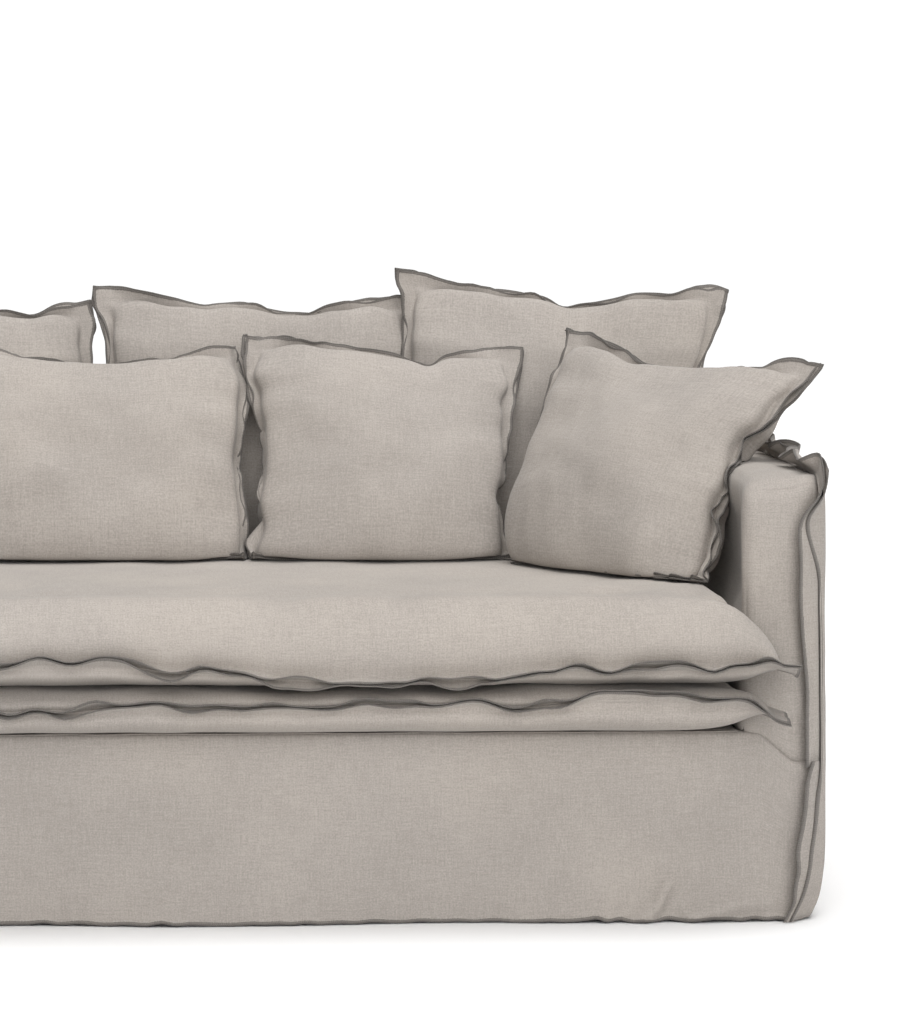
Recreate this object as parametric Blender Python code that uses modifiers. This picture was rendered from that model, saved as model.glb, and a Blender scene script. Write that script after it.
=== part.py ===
"""Fitted sofa slipcover with its seat mattresses, back cushions and pillows.

Metres, +Z up, +X to the right as one faces the sofa, -Y towards the viewer.
Heights in the tables are measured from the floor; the whole set hangs from one
empty that sets the origin on the underside of the seat deck panel, which is
where the cover lies on the sofa.
"""
import math

import bmesh
import bpy
from mathutils import Vector

# ------------------------------------------------------------ driving sizes
CLOTH = 0.002            # cloth thickness
HALF_W = 1.015           # outside face of an arm
ARM_T = 0.118            # arm thickness
FRONT_Y = -0.500         # front plane of the arms and skirt
BACK_Y = 0.500           # outside face of the back
BACK_T = 0.140           # back thickness
ARM_H = 0.622            # top of the arms and of the back
DECK_Z = 0.266           # middle of the seat deck panel
HEM_Z = 0.003            # hem above the floor
CORNER_R = 0.030         # rounding of the arm's front and back top corners
INNER_R = 0.020          # rounding of the arm's inner edges
BACK_TOP_R = 0.012       # rounding of the back's top front edge
SEAM_IN = 0.010          # the seam lies this far in from the outer corner
FLANGE = 0.030           # width of the external seam flange
LAYER = 0.0055           # spacing of the flange layers
HEM_WAVE = 0.013         # depth of the folds at the hem
SEAT_Z = 0.458           # top of the upper mattress
ORIGIN_Z = DECK_Z - CLOTH / 2

# seat mattresses: heights of underside, seam and top, front line of the seam,
# half width between the arms and in front of them (to the flange's edge)
MATTRESSES = [
    # name             under   seam    top    front_y  half_in  half_front
    ("mattress_lower", 0.2705, 0.3030, 0.3330, -0.572, 0.893, 0.952),
    ("mattress_upper", 0.3380, 0.3580, SEAT_Z, -0.580, 0.893, 0.966),
]

# filled cushions: the four corners of each, at the flange's tips, x and y at the
# bottom (which stands on the seat) and x, y and height at the top
CUSHIONS = [
    # name              kind      bottom left      bottom right     top left                top right
    ("back_cushion_1", "back", (-0.876, 0.235), (-0.449, 0.225), (-0.990, 0.300, 0.862), (-0.466, 0.295, 0.886)),
    ("back_cushion_2", "back", (-0.440, 0.245), (-0.006, 0.235), (-0.505, 0.325, 0.846), (-0.013, 0.312, 0.842)),
    ("back_cushion_3", "back", (0.006, 0.235), (0.440, 0.245), (-0.005, 0.305, 0.858), (0.503, 0.325, 0.842)),
    ("back_cushion_4", "back", (0.449, 0.225), (0.876, 0.235), (0.466, 0.295, 0.890), (0.990, 0.300, 0.862)),
    ("pillow_1", "corner", (-0.872, -0.350), (-0.620, -0.035), (-1.048, -0.215, 0.765), (-0.720, 0.130, 0.800)),
    ("pillow_2", "pillow", (-0.632, 0.030), (-0.238, 0.030), (-0.655, 0.200, 0.775), (-0.243, 0.200, 0.790)),
    ("pillow_3", "pillow", (-0.232, 0.030), (0.222, 0.030), (-0.235, 0.200, 0.785), (0.214, 0.200, 0.774)),
    ("pillow_4", "pillow", (0.231, 0.030), (0.632, 0.030), (0.228, 0.200, 0.793), (0.655, 0.200, 0.771)),
    ("pillow_5", "corner", (0.620, -0.035), (0.872, -0.355), (0.721, 0.130, 0.805), (1.054, -0.220, 0.763)),
]
# thickness, how far the sides and the top draw in, and how late the sides splay
CUSHION_KIND = {
    # kind     thick  side   top    splay
    "back":   (0.150, 0.014, 0.026, 2.6),
    "pillow": (0.135, 0.022, 0.018, 1.0),
    "corner": (0.130, 0.008, 0.018, 3.4),
}

LINEN = (0.47, 0.435, 0.40, 1.0)


# ------------------------------------------------------------ small helpers
def lerp(a, b, t):
    return a + (b - a) * t


def clamp(x, lo, hi):
    return lo if x < lo else hi if x > hi else x


def wave(x, seed):
    """Slow uneven wave between -1 and 1."""
    return (math.sin(7.3 * x + 1.9 * seed) * 0.55 + math.sin(15.1 * x + 0.7 + 3.1 * seed) * 0.30
            + math.sin(27.7 * x + 2.3 * seed) * 0.15)


def spread(lo, hi, n):
    return [lerp(lo, hi, i / n) for i in range(n + 1)]


def cell_box(lo, hi, cuts):
    """A cube scaled to a box and cut along the given x, y and z planes."""
    bm = bmesh.new()
    bmesh.ops.create_cube(bm, size=1.0)
    for v in bm.verts:
        v.co = [lerp(lo[k], hi[k], v.co[k] + 0.5) for k in range(3)]
    for axis, places in enumerate(cuts):
        normal = [0.0, 0.0, 0.0]
        normal[axis] = 1.0
        for place in places:
            if lo[axis] < place < hi[axis]:
                at = [0.0, 0.0, 0.0]
                at[axis] = place
                geom = bm.verts[:] + bm.edges[:] + bm.faces[:]
                bmesh.ops.bisect_plane(bm, geom=geom, dist=1e-7, plane_co=at, plane_no=normal)
    return bm


def keep_faces(bm, test):
    bm.normal_update()
    gone = [f for f in bm.faces if not test(f.calc_center_median(), f.normal)]
    bmesh.ops.delete(bm, geom=gone, context='FACES')
    loose = [v for v in bm.verts if not v.link_faces]
    bmesh.ops.delete(bm, geom=loose, context='VERTS')


def grow_rings(bm, is_seam, rings):
    """Extrudes the seam edges once for each ring; a ring maps a seam vertex's
    place to the new place."""
    edges = [e for e in bm.edges if e.is_boundary and is_seam(e.verts[0].co) and is_seam(e.verts[1].co)]
    start = {}
    for e in edges:
        for v in e.verts:
            start[v] = v.co.copy()
    for ring in rings:
        grown = bmesh.ops.extrude_edge_only(bm, edges=edges)["geom"]
        new_edges = [g for g in grown if isinstance(g, bmesh.types.BMEdge)]
        new_verts = [g for g in grown if isinstance(g, bmesh.types.BMVert)]
        new_start = {}
        for v in new_verts:
            near = min(start.items(), key=lambda kv: (kv[0].co - v.co).length_squared)
            new_start[v] = near[1]
        for v in new_verts:
            v.co = ring(new_start[v])
        start = new_start
        edges = new_edges
    return start


def finish(name, bm, material, home, solid=None):
    """Makes the object; an open cloth surface gets its thickness."""
    bmesh.ops.recalc_face_normals(bm, faces=bm.faces[:])
    mesh = bpy.data.meshes.new(name)
    bm.to_mesh(mesh)
    bm.free()
    mesh.shade_smooth()
    mesh.materials.append(material)
    ob = bpy.data.objects.new(name, mesh)
    home["collection"].objects.link(ob)
    ob.parent = home["empty"]
    if solid is not None:
        shell = ob.modifiers.new("cloth", 'SOLIDIFY')
        shell.thickness = solid
        shell.offset = 0.0
        shell.use_even_offset = True
    return ob


# ------------------------------------------------------------ cover panels
def round_front(y, z, y0, z1, r):
    """Pulls a point of the arm's side view inside its rounded front top corner;
    gives the place, the outward direction and the depth below the outline."""
    dy, dz = min(0.0, y - (y0 + r)), max(0.0, z - (z1 - r))
    n = math.hypot(dy, dz)
    if n < 1e-9:
        return y, z, (0.0, 0.0), r
    m = max(-dy, dz)
    return y - dy + dy * m / n, z - dz + dz * m / n, (dy / n, dz / n), r - m


def flange_lift(from_seam, up, path):
    """How far the flange stands off the cloth it is folded over: on top of the
    arm it rises and ruffles, in front it lies flat."""
    f = clamp(from_seam / FLANGE, 0.0, 1.1)
    return f * (0.010 * up + 0.0015 * wave(path, 4.0) * (1.0 + 2.0 * up))


def hem_drop(z):
    """1 at the hem, 0 at the height of the seat deck."""
    return clamp(1.0 - (z - HEM_Z) / (DECK_Z - HEM_Z), 0.0, 1.0)


def skirt_front(home, material):
    """One strip whose plan section turns back at both ends into the flange."""
    seam_x = HALF_W - SEAM_IN
    turn = LAYER / 2
    # plan section, right half: x and y offset forward of the front plane
    half = [(x, 0.0) for x in spread(0.0, 0.92, 11)] + [(0.955, 0.0), (seam_x - 0.02, 0.0)]
    half += [(seam_x - 0.001, 0.0), (seam_x + 0.0026, turn), (seam_x, LAYER),
             (seam_x - FLANGE * 0.5, LAYER + 0.0005), (seam_x - FLANGE - 0.003, LAYER + 0.001)]
    section = [(-x, f) for x, f in reversed(half[1:])] + half
    bm = bmesh.new()
    bmesh.ops.create_grid(bm, x_segments=len(section) - 1, y_segments=4, size=0.5)
    n = len(section) - 1
    for v in bm.verts:
        i = round((v.co.x + 0.5) * n)
        t = v.co.y + 0.5
        x, f = section[i]
        top = DECK_Z - 0.005
        # towards the arm's outer corner the strip's top edge slopes down
        slope = clamp((abs(x) - 0.925) / 0.045, 0.0, 1.0)
        top -= 0.040 * slope
        if f > 0.0:
            top = DECK_Z - 0.045
        z = lerp(HEM_Z + 0.002 * wave(x, 1.0), top, t)
        d = hem_drop(z)
        calm = clamp((seam_x - abs(x)) / 0.10, 0.0, 1.0)
        y = FRONT_Y - f - d * calm * HEM_WAVE * wave(x, 2.0) - 0.002 * d
        v.co = (x, y, z)
    return finish("skirt_front", bm, material, home, CLOTH)


def arm_outer(side, home, material):
    """Outer face with a flange all round its front, top and back edge."""
    y0, y1, z1, r = FRONT_Y + 0.004, BACK_Y - 0.004, ARM_H - 0.004, CORNER_R
    ys = [y0 + r * f for f in (0.25, 0.6, 1.0)] + spread(y0 + 0.12, y1 - 0.10, 4)
    zs = spread(HEM_Z, z1 - 0.10, 4) + [z1 - r * f for f in (1.0, 0.6, 0.25)]
    bm = cell_box((HALF_W - 0.01, y0, HEM_Z), (HALF_W, y1, z1), ([], ys, zs))
    keep_faces(bm, lambda c, n: n.x > 0.5)
    edge = {}
    for v in bm.verts:
        on_front, on_top, on_back = v.co.y < y0 + 1e-5, v.co.z > z1 - 1e-5, v.co.y > y1 - 1e-5
        y, z, n, _ = round_front(v.co.y, v.co.z, y0, z1, r)
        if on_back:
            n = (1.0, 1.0) if on_top else (1.0, 0.0)
        elif on_top and n == (0.0, 0.0):
            n = (0.0, 1.0)
        elif on_front and n == (0.0, 0.0):
            n = (-1.0, 0.0)
        v.co = (HALF_W, y, z)
        if on_front or on_top or on_back:
            edge[tuple(round(c, 5) for c in v.co)] = n

    def ring(out, inward):
        def place(co):
            ny, nz = edge[tuple(round(c, 5) for c in co)]
            lift = out + flange_lift(inward - SEAM_IN, max(nz, 0.0), co.y + co.z)
            return (HALF_W - inward, co.y + ny * lift, co.z + nz * lift)
        return place

    grow_rings(bm, lambda co: tuple(round(c, 5) for c in co) in edge,
               [ring(0.0110, 0.0010), ring(0.0150, 0.0060), ring(0.0165, 0.0200), ring(0.0165, SEAM_IN + FLANGE)])
    for v in bm.verts:
        d = hem_drop(v.co.z)
        calm = clamp((BACK_Y - abs(v.co.y)) / 0.12, 0.0, 1.0)
        v.co.x += d * calm * HEM_WAVE * wave(v.co.y, 6.0)
        v.co.x *= side
    name = "arm_outer_R" if side > 0 else "arm_outer_L"
    return finish(name, bm, material, home, CLOTH)


def arm_inner(side, home, material):
    """Inner face, top and front of the arm in one cloth, with the inner layer of
    the flange along its outer edge."""
    x0, x1 = HALF_W - ARM_T, HALF_W - SEAM_IN
    y0, y1, r = FRONT_Y, BACK_Y - 0.005, CORNER_R
    z0, z1, low = DECK_Z + 0.001, ARM_H, DECK_Z - 0.040
    xs = [x0 + INNER_R * f for f in (0.3, 1.0)] + spread(x0 + 0.06, x1, 1)
    ys = [y0 + r * f for f in (0.25, 0.6, 1.0)] + spread(y0 + 0.12, y1 - 0.10, 4)
    zs = [z0, z0 + 0.02] + spread(z0 + 0.12, z1 - 0.08, 2) + [z1 - r * f for f in (1.0, 0.6, 0.25)]
    bm = cell_box((x0, y0, low), (x1, y1, z1), (xs, ys, zs))
    keep_faces(bm, lambda c, n: n.z > 0.5 or n.y < -0.5 or (n.x < -0.5 and c.z > z0))
    for v in bm.verts:
        x, y, z = v.co
        if z < z0 + 0.019 and y < y0 + 1e-5:
            # the front ends in a slope across the arm
            foot = lerp(z0, low, clamp((x - x0 - 0.028) / 0.045, 0.0, 1.0))
            z = lerp(foot, z0 + 0.02, (z - low) / (z0 + 0.02 - low))
        y, z, (ny, nz), depth = round_front(y, z, y0, z1, r)
        if ny == 0.0 and nz == 0.0:
            # flat stretches of the front and the top
            if v.co.y < y0 + INNER_R:
                ny, nz, depth = -1.0, 0.0, v.co.y - y0
            if v.co.z > z1 - INNER_R:
                ny, nz, depth = 0.0, 1.0, z1 - v.co.z
        if (ny, nz) != (0.0, 0.0) and x < x0 + INNER_R and depth < INNER_R:
            a, b = x0 + INNER_R - x, INNER_R - depth
            k = max(a, b) / math.hypot(a, b)
            x = x0 + INNER_R - a * k
            y += ny * (b * k - b)
            z += nz * (b * k - b)
        # the pillow presses a shallow dent into the inner top edge
        dent = math.exp(-((y + 0.31) / 0.12) ** 2) * clamp((z - 0.46) / 0.12, 0.0, 1.0)
        near = clamp((x0 + 0.07 - x) / 0.07, 0.0, 1.0)
        v.co = (x + 0.026 * dent * near, y, z - 0.008 * dent * near)

    def ring(out, inward):
        def place(co):
            dy, dz = min(0.0, co.y - (y0 + r)), max(0.0, co.z - (z1 - r))
            n = max(math.hypot(dy, dz), 1e-9)
            lift = out + flange_lift(inward, dz / n, co.y + co.z)
            return (co.x - inward, co.y + dy / n * lift, co.z + dz / n * lift)
        return place

    grow_rings(bm, lambda co: co.x > x1 - 1e-4,
               [ring(0.0022, -0.0026), ring(0.0055, 0.0000), ring(0.0060, 0.0140), ring(0.0065, FLANGE + 0.003)])
    for v in bm.verts:
        v.co.x *= side
    name = "arm_inner_R" if side > 0 else "arm_inner_L"
    return finish(name, bm, material, home, CLOTH)


def back_inner(home, material):
    """Inner face and top of the back between the arms."""
    x1 = HALF_W - ARM_T - 0.004
    y0, y1 = BACK_Y - BACK_T, BACK_Y - SEAM_IN
    z0, z1 = DECK_Z + 0.001, ARM_H
    r = BACK_TOP_R
    ys = [y0 + r * f for f in (0.3, 1.0)] + spread(y0 + 0.07, y1, 1)
    zs = spread(z0, z1 - 0.06, 3) + [z1 - r * f for f in (1.0, 0.3)]
    bm = cell_box((-x1, y0, z0), (x1, y1, z1), (spread(-x1, x1, 9), ys, zs))
    keep_faces(bm, lambda c, n: n.z > 0.5 or n.y < -0.5)
    for v in bm.verts:
        x, y, z = v.co
        a, b = max(0.0, y0 + r - y), max(0.0, z - (z1 - r))
        if a > 0.0 and b > 0.0:
            k = max(a, b) / math.hypot(a, b)
            y, z = y0 + r - a * k, z1 - r + b * k
        v.co = (x, y, z)

    def ring(up, back):
        def place(co):
            return (co.x, co.y + back * (1.0 + 0.25 * wave(co.x, 4.0)), co.z + up)
        return place

    grow_rings(bm, lambda co: co.y > y1 - 1e-4 and co.z > z1 - 1e-4,
               [ring(0.0035, 0.0020), ring(0.0140, 0.0040), ring(FLANGE, 0.0100)])
    return finish("back_inner", bm, material, home, CLOTH)


def back_outer(home, material):
    """Outer face of the back; its top edge stands up behind the flange of the
    top, its ends turn back under the flange of the outer arm panels."""
    x1 = HALF_W - SEAM_IN
    z1, zc = ARM_H - 0.004, ARM_H - 0.060
    x_top = x1 - FLANGE - 0.016
    xs = spread(-0.90, 0.90, 9) + [-x_top, x_top]
    bm = cell_box((-x1, BACK_Y - 0.01, HEM_Z), (x1, BACK_Y, z1), (xs, [], spread(HEM_Z, zc, 5)))
    keep_faces(bm, lambda c, n: n.y > 0.5)

    def side_ring(out, inward):
        def place(co):
            s = 1.0 if co.x > 0 else -1.0
            return (co.x - s * inward, co.y + out, co.z)
        return place

    def top_ring(up, back):
        def place(co):
            return (co.x, co.y + back * (1.0 + 0.25 * wave(co.x, 4.0)), co.z + up)
        return place

    grow_rings(bm, lambda co: co.z > z1 - 1e-5 and abs(co.x) < x_top + 1e-5, [
        top_ring(0.0080, 0.0005), top_ring(0.0190, 0.0040), top_ring(0.0040 + FLANGE, 0.0100)])
    grow_rings(bm, lambda co: abs(co.x) > x1 - 1e-5 and co.z < zc + 1e-5, [
        side_ring(0.0022, -0.0026), side_ring(0.0055, 0.0), side_ring(0.0060, 0.0140),
        side_ring(0.0065, FLANGE + 0.003)])
    for v in bm.verts:
        d = hem_drop(v.co.z)
        calm = clamp((x1 - 0.03 - abs(v.co.x)) / 0.12, 0.0, 1.0)
        v.co.y += d * calm * HEM_WAVE * wave(v.co.x, 9.0)
    return finish("back_outer", bm, material, home, CLOTH)


def deck(home, material):
    """Flat panel under the mattresses."""
    x1 = HALF_W - ARM_T - 0.003
    bm = bmesh.new()
    bmesh.ops.create_grid(bm, x_segments=1, y_segments=1, size=0.5)
    for v in bm.verts:
        v.co = (lerp(-x1, x1, v.co.x + 0.5), lerp(FRONT_Y + 0.003, BACK_Y - BACK_T - 0.003, v.co.y + 0.5), DECK_Z)
    return finish("deck", bm, material, home, CLOTH)


# ------------------------------------------------------------ filled pieces
def side_round(d, r):
    """0 at the seam, 1 once d is past the rounding r: a full quarter ellipse."""
    if d >= r:
        return 1.0
    return (1.0 - (1.0 - max(d, 0.0) / r) ** 2.2) ** (1 / 2.2)


def mattress(row, home, material):
    name, under, seam_z, top, front, half_in, half_front = row
    back = BACK_Y - BACK_T - 0.004
    flange = 0.026
    us = spread(-0.90, 0.90, 9) + [-1.0, -0.97, 0.97, 1.0]
    # v is the real y of the grid line; the flange lines lie past the seam
    vs = [front, front + 0.012, front + 0.040, FRONT_Y - 0.016, FRONT_Y - 0.006, FRONT_Y + 0.03,
          -0.25, 0.05, back - flange - 0.03, back - flange]
    bm = cell_box((-1.03, front - flange, -1.0), (1.03, back, 1.0), (us, vs, []))
    for v in bm.verts:
        u, y, w = v.co
        f = clamp((FRONT_Y - 0.006 - y) / 0.020, 0.0, 1.0)
        f = f * f * (3 - 2 * f)
        # body half width at this depth; the front corners spread before the arms
        half = lerp(half_in, half_front, f) - flange
        au = min(abs(u), 1.0)
        x = math.copysign(half * au + (flange if abs(u) > 1.001 else 0.0), u)
        d_side = half * (1.0 - au)
        d_front = max(y - front, 0.0)
        d_back = max(back - flange - y, 0.0)
        full = side_round(d_side, 0.05) * side_round(d_front, 0.075) * side_round(d_back, 0.05)
        droop = 0.006 * wave(x, 7.0) * clamp((-y - 0.40) / 0.12, 0.0, 1.0)
        z_seam = seam_z + droop
        if w > 0:
            z = z_seam + 0.002 + (top - z_seam - 0.002) * full
        else:
            z = z_seam - 0.002 - (z_seam - 0.002 - under) * full
        # drawn in between the corners
        if y < FRONT_Y:
            y += 0.010 * (1.0 - au ** 6) * clamp((FRONT_Y - y) / 0.08, 0.0, 1.0)
        if y > back - 1e-5 or y < front - 1e-5 or abs(u) > 1.001:
            z = clamp(z - 0.004 if y < front - 1e-5 else z, under + 0.001, top)
        v.co = (x, y, z)
    return finish(name, bm, material, home)


def cushion(row, home, material):
    name = row[0]
    base = SEAT_Z + 0.0045
    foot = base + 0.010
    bl, br = (Vector((x, y, foot)) for x, y in row[2:4])
    tl, tr = Vector(row[4]), Vector(row[5])
    thick, draw_side, draw_top, splay = CUSHION_KIND[row[1]]
    across = ((br - bl) + (tr - tl)).normalized()
    up = ((tl - bl) + (tr - br)).normalized()
    out = across.cross(up).normalized()
    ahead = Vector((out.x, out.y, 0.0)).normalized()
    flange = FLANGE * 0.93
    fu, fv = flange / (br - bl).length, flange / (tl - bl).length
    us = [-1.0, -0.90, -0.55, 0.0, 0.55, 0.90, 1.0]
    vs = [-1.0, -0.88, -0.45, 0.05, 0.55, 0.90, 1.0]
    bm = cell_box((-1.1, -1.1, -1.0), (1.1, 1.1, 1.0), (us, vs, []))
    for p in bm.verts:
        u, v, w = p.co
        bu, bv = clamp(u, -1, 1), clamp(v, -1, 1)
        s = lerp(fu, 1 - fu, (bu + 1) / 2) if abs(u) < 1.001 else (0.0 if u < 0 else 1.0)
        t = (bv + 1) / 2 * (1 - fv) if v < 1.001 else 1.0
        late = t ** splay
        left = bl.lerp(tl, t)
        right = br.lerp(tr, t)
        left.x = lerp(bl.x, tl.x, late)
        right.x = lerp(br.x, tr.x, late)
        place = left.lerp(right, s)
        place -= across * (bu * draw_side * (1 - (2 * t - 1) ** 2))
        place -= up * (t * draw_top * (1 - (2 * s - 1) ** 2))
        dome = ((1 - abs(bu) ** 3.0) ** 0.5) * ((1 - abs(bv) ** 3.0) ** 0.5)
        half = 0.0022 + thick / 2 * dome * (1.0 - 0.16 * bv)
        place += out * (w * half)
        if v < -1.001:
            # the bottom flange is turned forward and lies on the seat
            place = bl.lerp(br, s) + ahead * (flange + 0.004)
            place.z = base + 0.0062 + w * 0.002
        place.z = max(place.z, base + (0.004 if w > 0 else 0.0))
        p.co = place
    return finish(name, bm, material, home)


def main():
    for ob in list(bpy.data.objects):
        bpy.data.objects.remove(ob, do_unlink=True)
    collection = bpy.data.collections.new("sofa_slipcover")
    bpy.context.scene.collection.children.link(collection)
    empty = bpy.data.objects.new("slipcover_frame", None)
    collection.objects.link(empty)
    empty.location = (0.0, 0.0, -ORIGIN_Z)
    home = {"collection": collection, "empty": empty}

    def linen(name, shade):
        material = bpy.data.materials.new("linen_" + name)
        material.use_nodes = True
        bsdf = material.node_tree.nodes["Principled BSDF"]
        bsdf.inputs["Base Color"].default_value = tuple(c * shade for c in LINEN[:3]) + (1.0,)
        bsdf.inputs["Roughness"].default_value = 0.9
        bsdf.inputs["Metallic"].default_value = 0.0
        return material

    skirt_front(home, linen("skirt_front", 0.98))
    for side in (1.0, -1.0):
        arm_inner(side, home, linen("arm_inner", 1.0))
        arm_outer(side, home, linen("arm_outer", 0.97))
    back_inner(home, linen("back_inner", 0.97))
    back_outer(home, linen("back_outer", 0.96))
    deck(home, linen("deck", 0.95))
    for row in MATTRESSES:
        mattress(row, home, linen(row[0], 1.0))
    for row in CUSHIONS:
        cushion(row, home, linen(row[0], 1.02))


main()
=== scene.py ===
"""Looks of the linen slipcover set: every cover panel, mattress and cushion as
cloth with its own seam flanges, overlocked edges, puckers and folds.

Metres; +X right, +Z up, -Y towards the viewer. The frame's origin is on the
underside of the seat deck, so the floor is at z = -FLOOR.
"""
import math
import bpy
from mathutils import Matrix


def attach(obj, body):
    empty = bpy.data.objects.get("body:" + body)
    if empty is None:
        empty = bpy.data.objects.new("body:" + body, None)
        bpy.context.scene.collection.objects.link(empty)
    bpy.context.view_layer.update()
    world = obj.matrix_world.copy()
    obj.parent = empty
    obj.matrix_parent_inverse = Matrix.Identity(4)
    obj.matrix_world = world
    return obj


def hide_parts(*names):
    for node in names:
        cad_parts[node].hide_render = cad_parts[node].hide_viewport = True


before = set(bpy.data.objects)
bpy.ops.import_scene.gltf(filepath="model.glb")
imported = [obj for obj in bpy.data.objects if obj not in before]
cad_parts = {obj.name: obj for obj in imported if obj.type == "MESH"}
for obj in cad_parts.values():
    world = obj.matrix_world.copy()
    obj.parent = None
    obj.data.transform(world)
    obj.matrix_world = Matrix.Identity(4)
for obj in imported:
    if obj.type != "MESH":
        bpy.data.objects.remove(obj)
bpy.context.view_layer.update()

import bpy
import numpy as np
from mathutils import Matrix, Vector

FLOOR = 0.265            # floor under the origin
HALF_W = 1.015           # outside face of an arm
ARM_IN = 0.897           # inside face of an arm
FRONT_Y = -0.500
BACK_Y = 0.500
BACK_IN = 0.360
ARM_H = 0.622            # arm top above the floor
DECK_Z = 0.266
SEAM_IN = 0.010
CORNER_R = 0.030
INNER_R = 0.020
SEAT_Z = 0.458
FLANGE = 0.028           # width of a cushion's seam flange
RINGS = (0.0, 0.0020, 0.0058, 0.0082, 0.0180, FLANGE)


# ------------------------------------------------------------------ numbers
def field(p, seed, low, high, count=14):
    """Smooth random field of unit strength, wavelengths from low to high."""
    p = np.asarray(p, float)
    if p.ndim == 1:
        p = p[:, None]
    r = np.random.default_rng(seed)
    k = r.normal(size=(count, p.shape[1]))
    k /= np.linalg.norm(k, axis=1)[:, None]
    wl = np.exp(r.uniform(math.log(low), math.log(high), count))
    k *= (2 * math.pi / wl)[:, None]
    ph = r.uniform(0, 2 * math.pi, count)
    return np.sin(p @ k.T + ph).sum(1) / math.sqrt(count / 2)


def step(x, lo, hi):
    t = np.clip((np.asarray(x, float) - lo) / (hi - lo), 0.0, 1.0)
    return t * t * (3 - 2 * t)


def curve(table, at, blur=0.0):
    """Reads a table of (place, value) at the given places, softened by blur."""
    xs = np.array([a for a, _ in table], float)
    ys = np.array([b for _, b in table], float)
    at = np.asarray(at, float)
    if blur <= 0:
        return np.interp(at, xs, ys)
    taps = np.linspace(-1.6, 1.6, 9)
    w = np.exp(-taps ** 2)
    w /= w.sum()
    return sum(wk * np.interp(at + t * blur, xs, ys) for t, wk in zip(taps, w))


def unit(v):
    v = np.asarray(v, float)
    return v / np.maximum(np.linalg.norm(v, axis=-1, keepdims=True), 1e-12)


def point_normals(P, Q):
    a, b, c, d = (P[Q[:, k]] for k in range(4))
    n = np.cross(c - a, d - b)
    out = np.zeros_like(P)
    for k in range(4):
        for ax in range(3):
            out[:, ax] += np.bincount(Q[:, k], n[:, ax], len(P))
    return unit(out)


def relax(P, start, Q, excess, mob, rounds=160, bend=0.03, tether=0.002, cap=0.012, hold=None):
    """Cloth relaxation: P is the smooth shape, start the same with seed
    ripples. Every edge wants to be longer than in P by its share of excess
    cloth, so the surplus buckles out into puckers and ruffles, while bending
    resists short waves. mob is how freely a point moves, cap how far."""
    s = np.concatenate([Q[:, [0, 1]], Q[:, [1, 2]], Q[:, [2, 3]], Q[:, [3, 0]]])
    s = np.unique(np.sort(s, 1), axis=0)
    e = np.concatenate([s, Q[:, [0, 2]], Q[:, [1, 3]]])
    i, j = e[:, 0], e[:, 1]
    n = len(P)
    deg = np.maximum(np.bincount(i, minlength=n) + np.bincount(j, minlength=n), 1)
    si, sj = s[:, 0], s[:, 1]
    sdeg = np.maximum(np.bincount(si, minlength=n) + np.bincount(sj, minlength=n), 1)[:, None]
    rest = np.linalg.norm(P[j] - P[i], axis=1) * (1 + 0.5 * (excess[i] + excess[j]))
    gain = (1.15 * mob / deg)[:, None]
    mob3 = mob[:, None]
    capv = np.broadcast_to(np.asarray(cap, float), (n,))[:, None]

    def lap(d):
        out = np.empty_like(d)
        for ax in range(3):
            out[:, ax] = np.bincount(si, d[sj, ax], n) + np.bincount(sj, d[si, ax], n)
        return out / sdeg - d

    X = start.copy()
    for it in range(rounds):
        D = X[j] - X[i]
        L = np.sqrt((D * D).sum(1)) + 1e-12
        C = (0.5 * (1 - rest / L))[:, None] * D
        acc = np.empty_like(X)
        for ax in range(3):
            acc[:, ax] = np.bincount(i, C[:, ax], n) - np.bincount(j, C[:, ax], n)
        X += acc * gain
        d = X - P
        d -= bend * lap(lap(d)) * mob3
        d *= 1 - tether
        far = np.sqrt((d * d).sum(1, keepdims=True)) + 1e-12
        d *= np.minimum(1.0, capv / far)
        X = P + d
        if hold is not None and it % 4 == 3:
            hold(X)
    if hold is not None:
        hold(X)
    return X


# ------------------------------------------------------------------ meshes
LINEN = {}
PIECES = []


def build(name, P, Q, cloth_uv, edge_uv, material, thickness=None, weights=None, level=1):
    """Makes the object. P points, Q quads, cloth_uv and edge_uv per quad corner."""
    me = bpy.data.meshes.new(name)
    me.from_pydata(P.tolist(), [], Q.tolist())
    for uv_name, uv in (("cloth", cloth_uv), ("edge", edge_uv)):
        layer = me.uv_layers.new(name=uv_name)
        layer.data.foreach_set("uv", np.ascontiguousarray(uv, dtype=np.float32).reshape(-1))
    me.validate()
    me.shade_smooth()
    me.materials.append(material)
    ob = bpy.data.objects.new(name, me)
    bpy.context.scene.collection.objects.link(ob)
    if level:
        m = ob.modifiers.new("smooth", 'SUBSURF')
        m.levels = m.render_levels = level
        m.boundary_smooth = 'PRESERVE_CORNERS'
        m.uv_smooth = 'NONE'
    if thickness is not None:
        m = ob.modifiers.new("cloth", 'SOLIDIFY')
        m.thickness = thickness
        m.offset = 0.0
        if weights is not None:
            group = ob.vertex_groups.new(name="band")
            keys = np.unique(np.round(weights, 2))
            for k in keys:
                idx = np.nonzero(np.abs(np.round(weights, 2) - k) < 1e-6)[0]
                group.add(idx.tolist(), float(k), 'REPLACE')
            m.vertex_group = "band"
            m.thickness_vertex_group = 0.0
    PIECES.append(ob)
    return ob


def corner_uv(Q, per_point):
    return per_point[Q]


def weld_frame(lines_a, lines_b):
    na, nb = len(lines_a), len(lines_b)
    idx = np.arange(na * nb).reshape(na, nb)
    q = np.stack([idx[:-1, :-1], idx[1:, :-1], idx[1:, 1:], idx[:-1, 1:]], -1).reshape(-1, 4)
    return idx, q


def ring_index(n, ring):
    """Ring number of each grid line: 0 at the free edge, ring at the seam."""
    k = np.arange(n)
    return np.minimum(np.minimum(k, n - 1 - k), ring)


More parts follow.
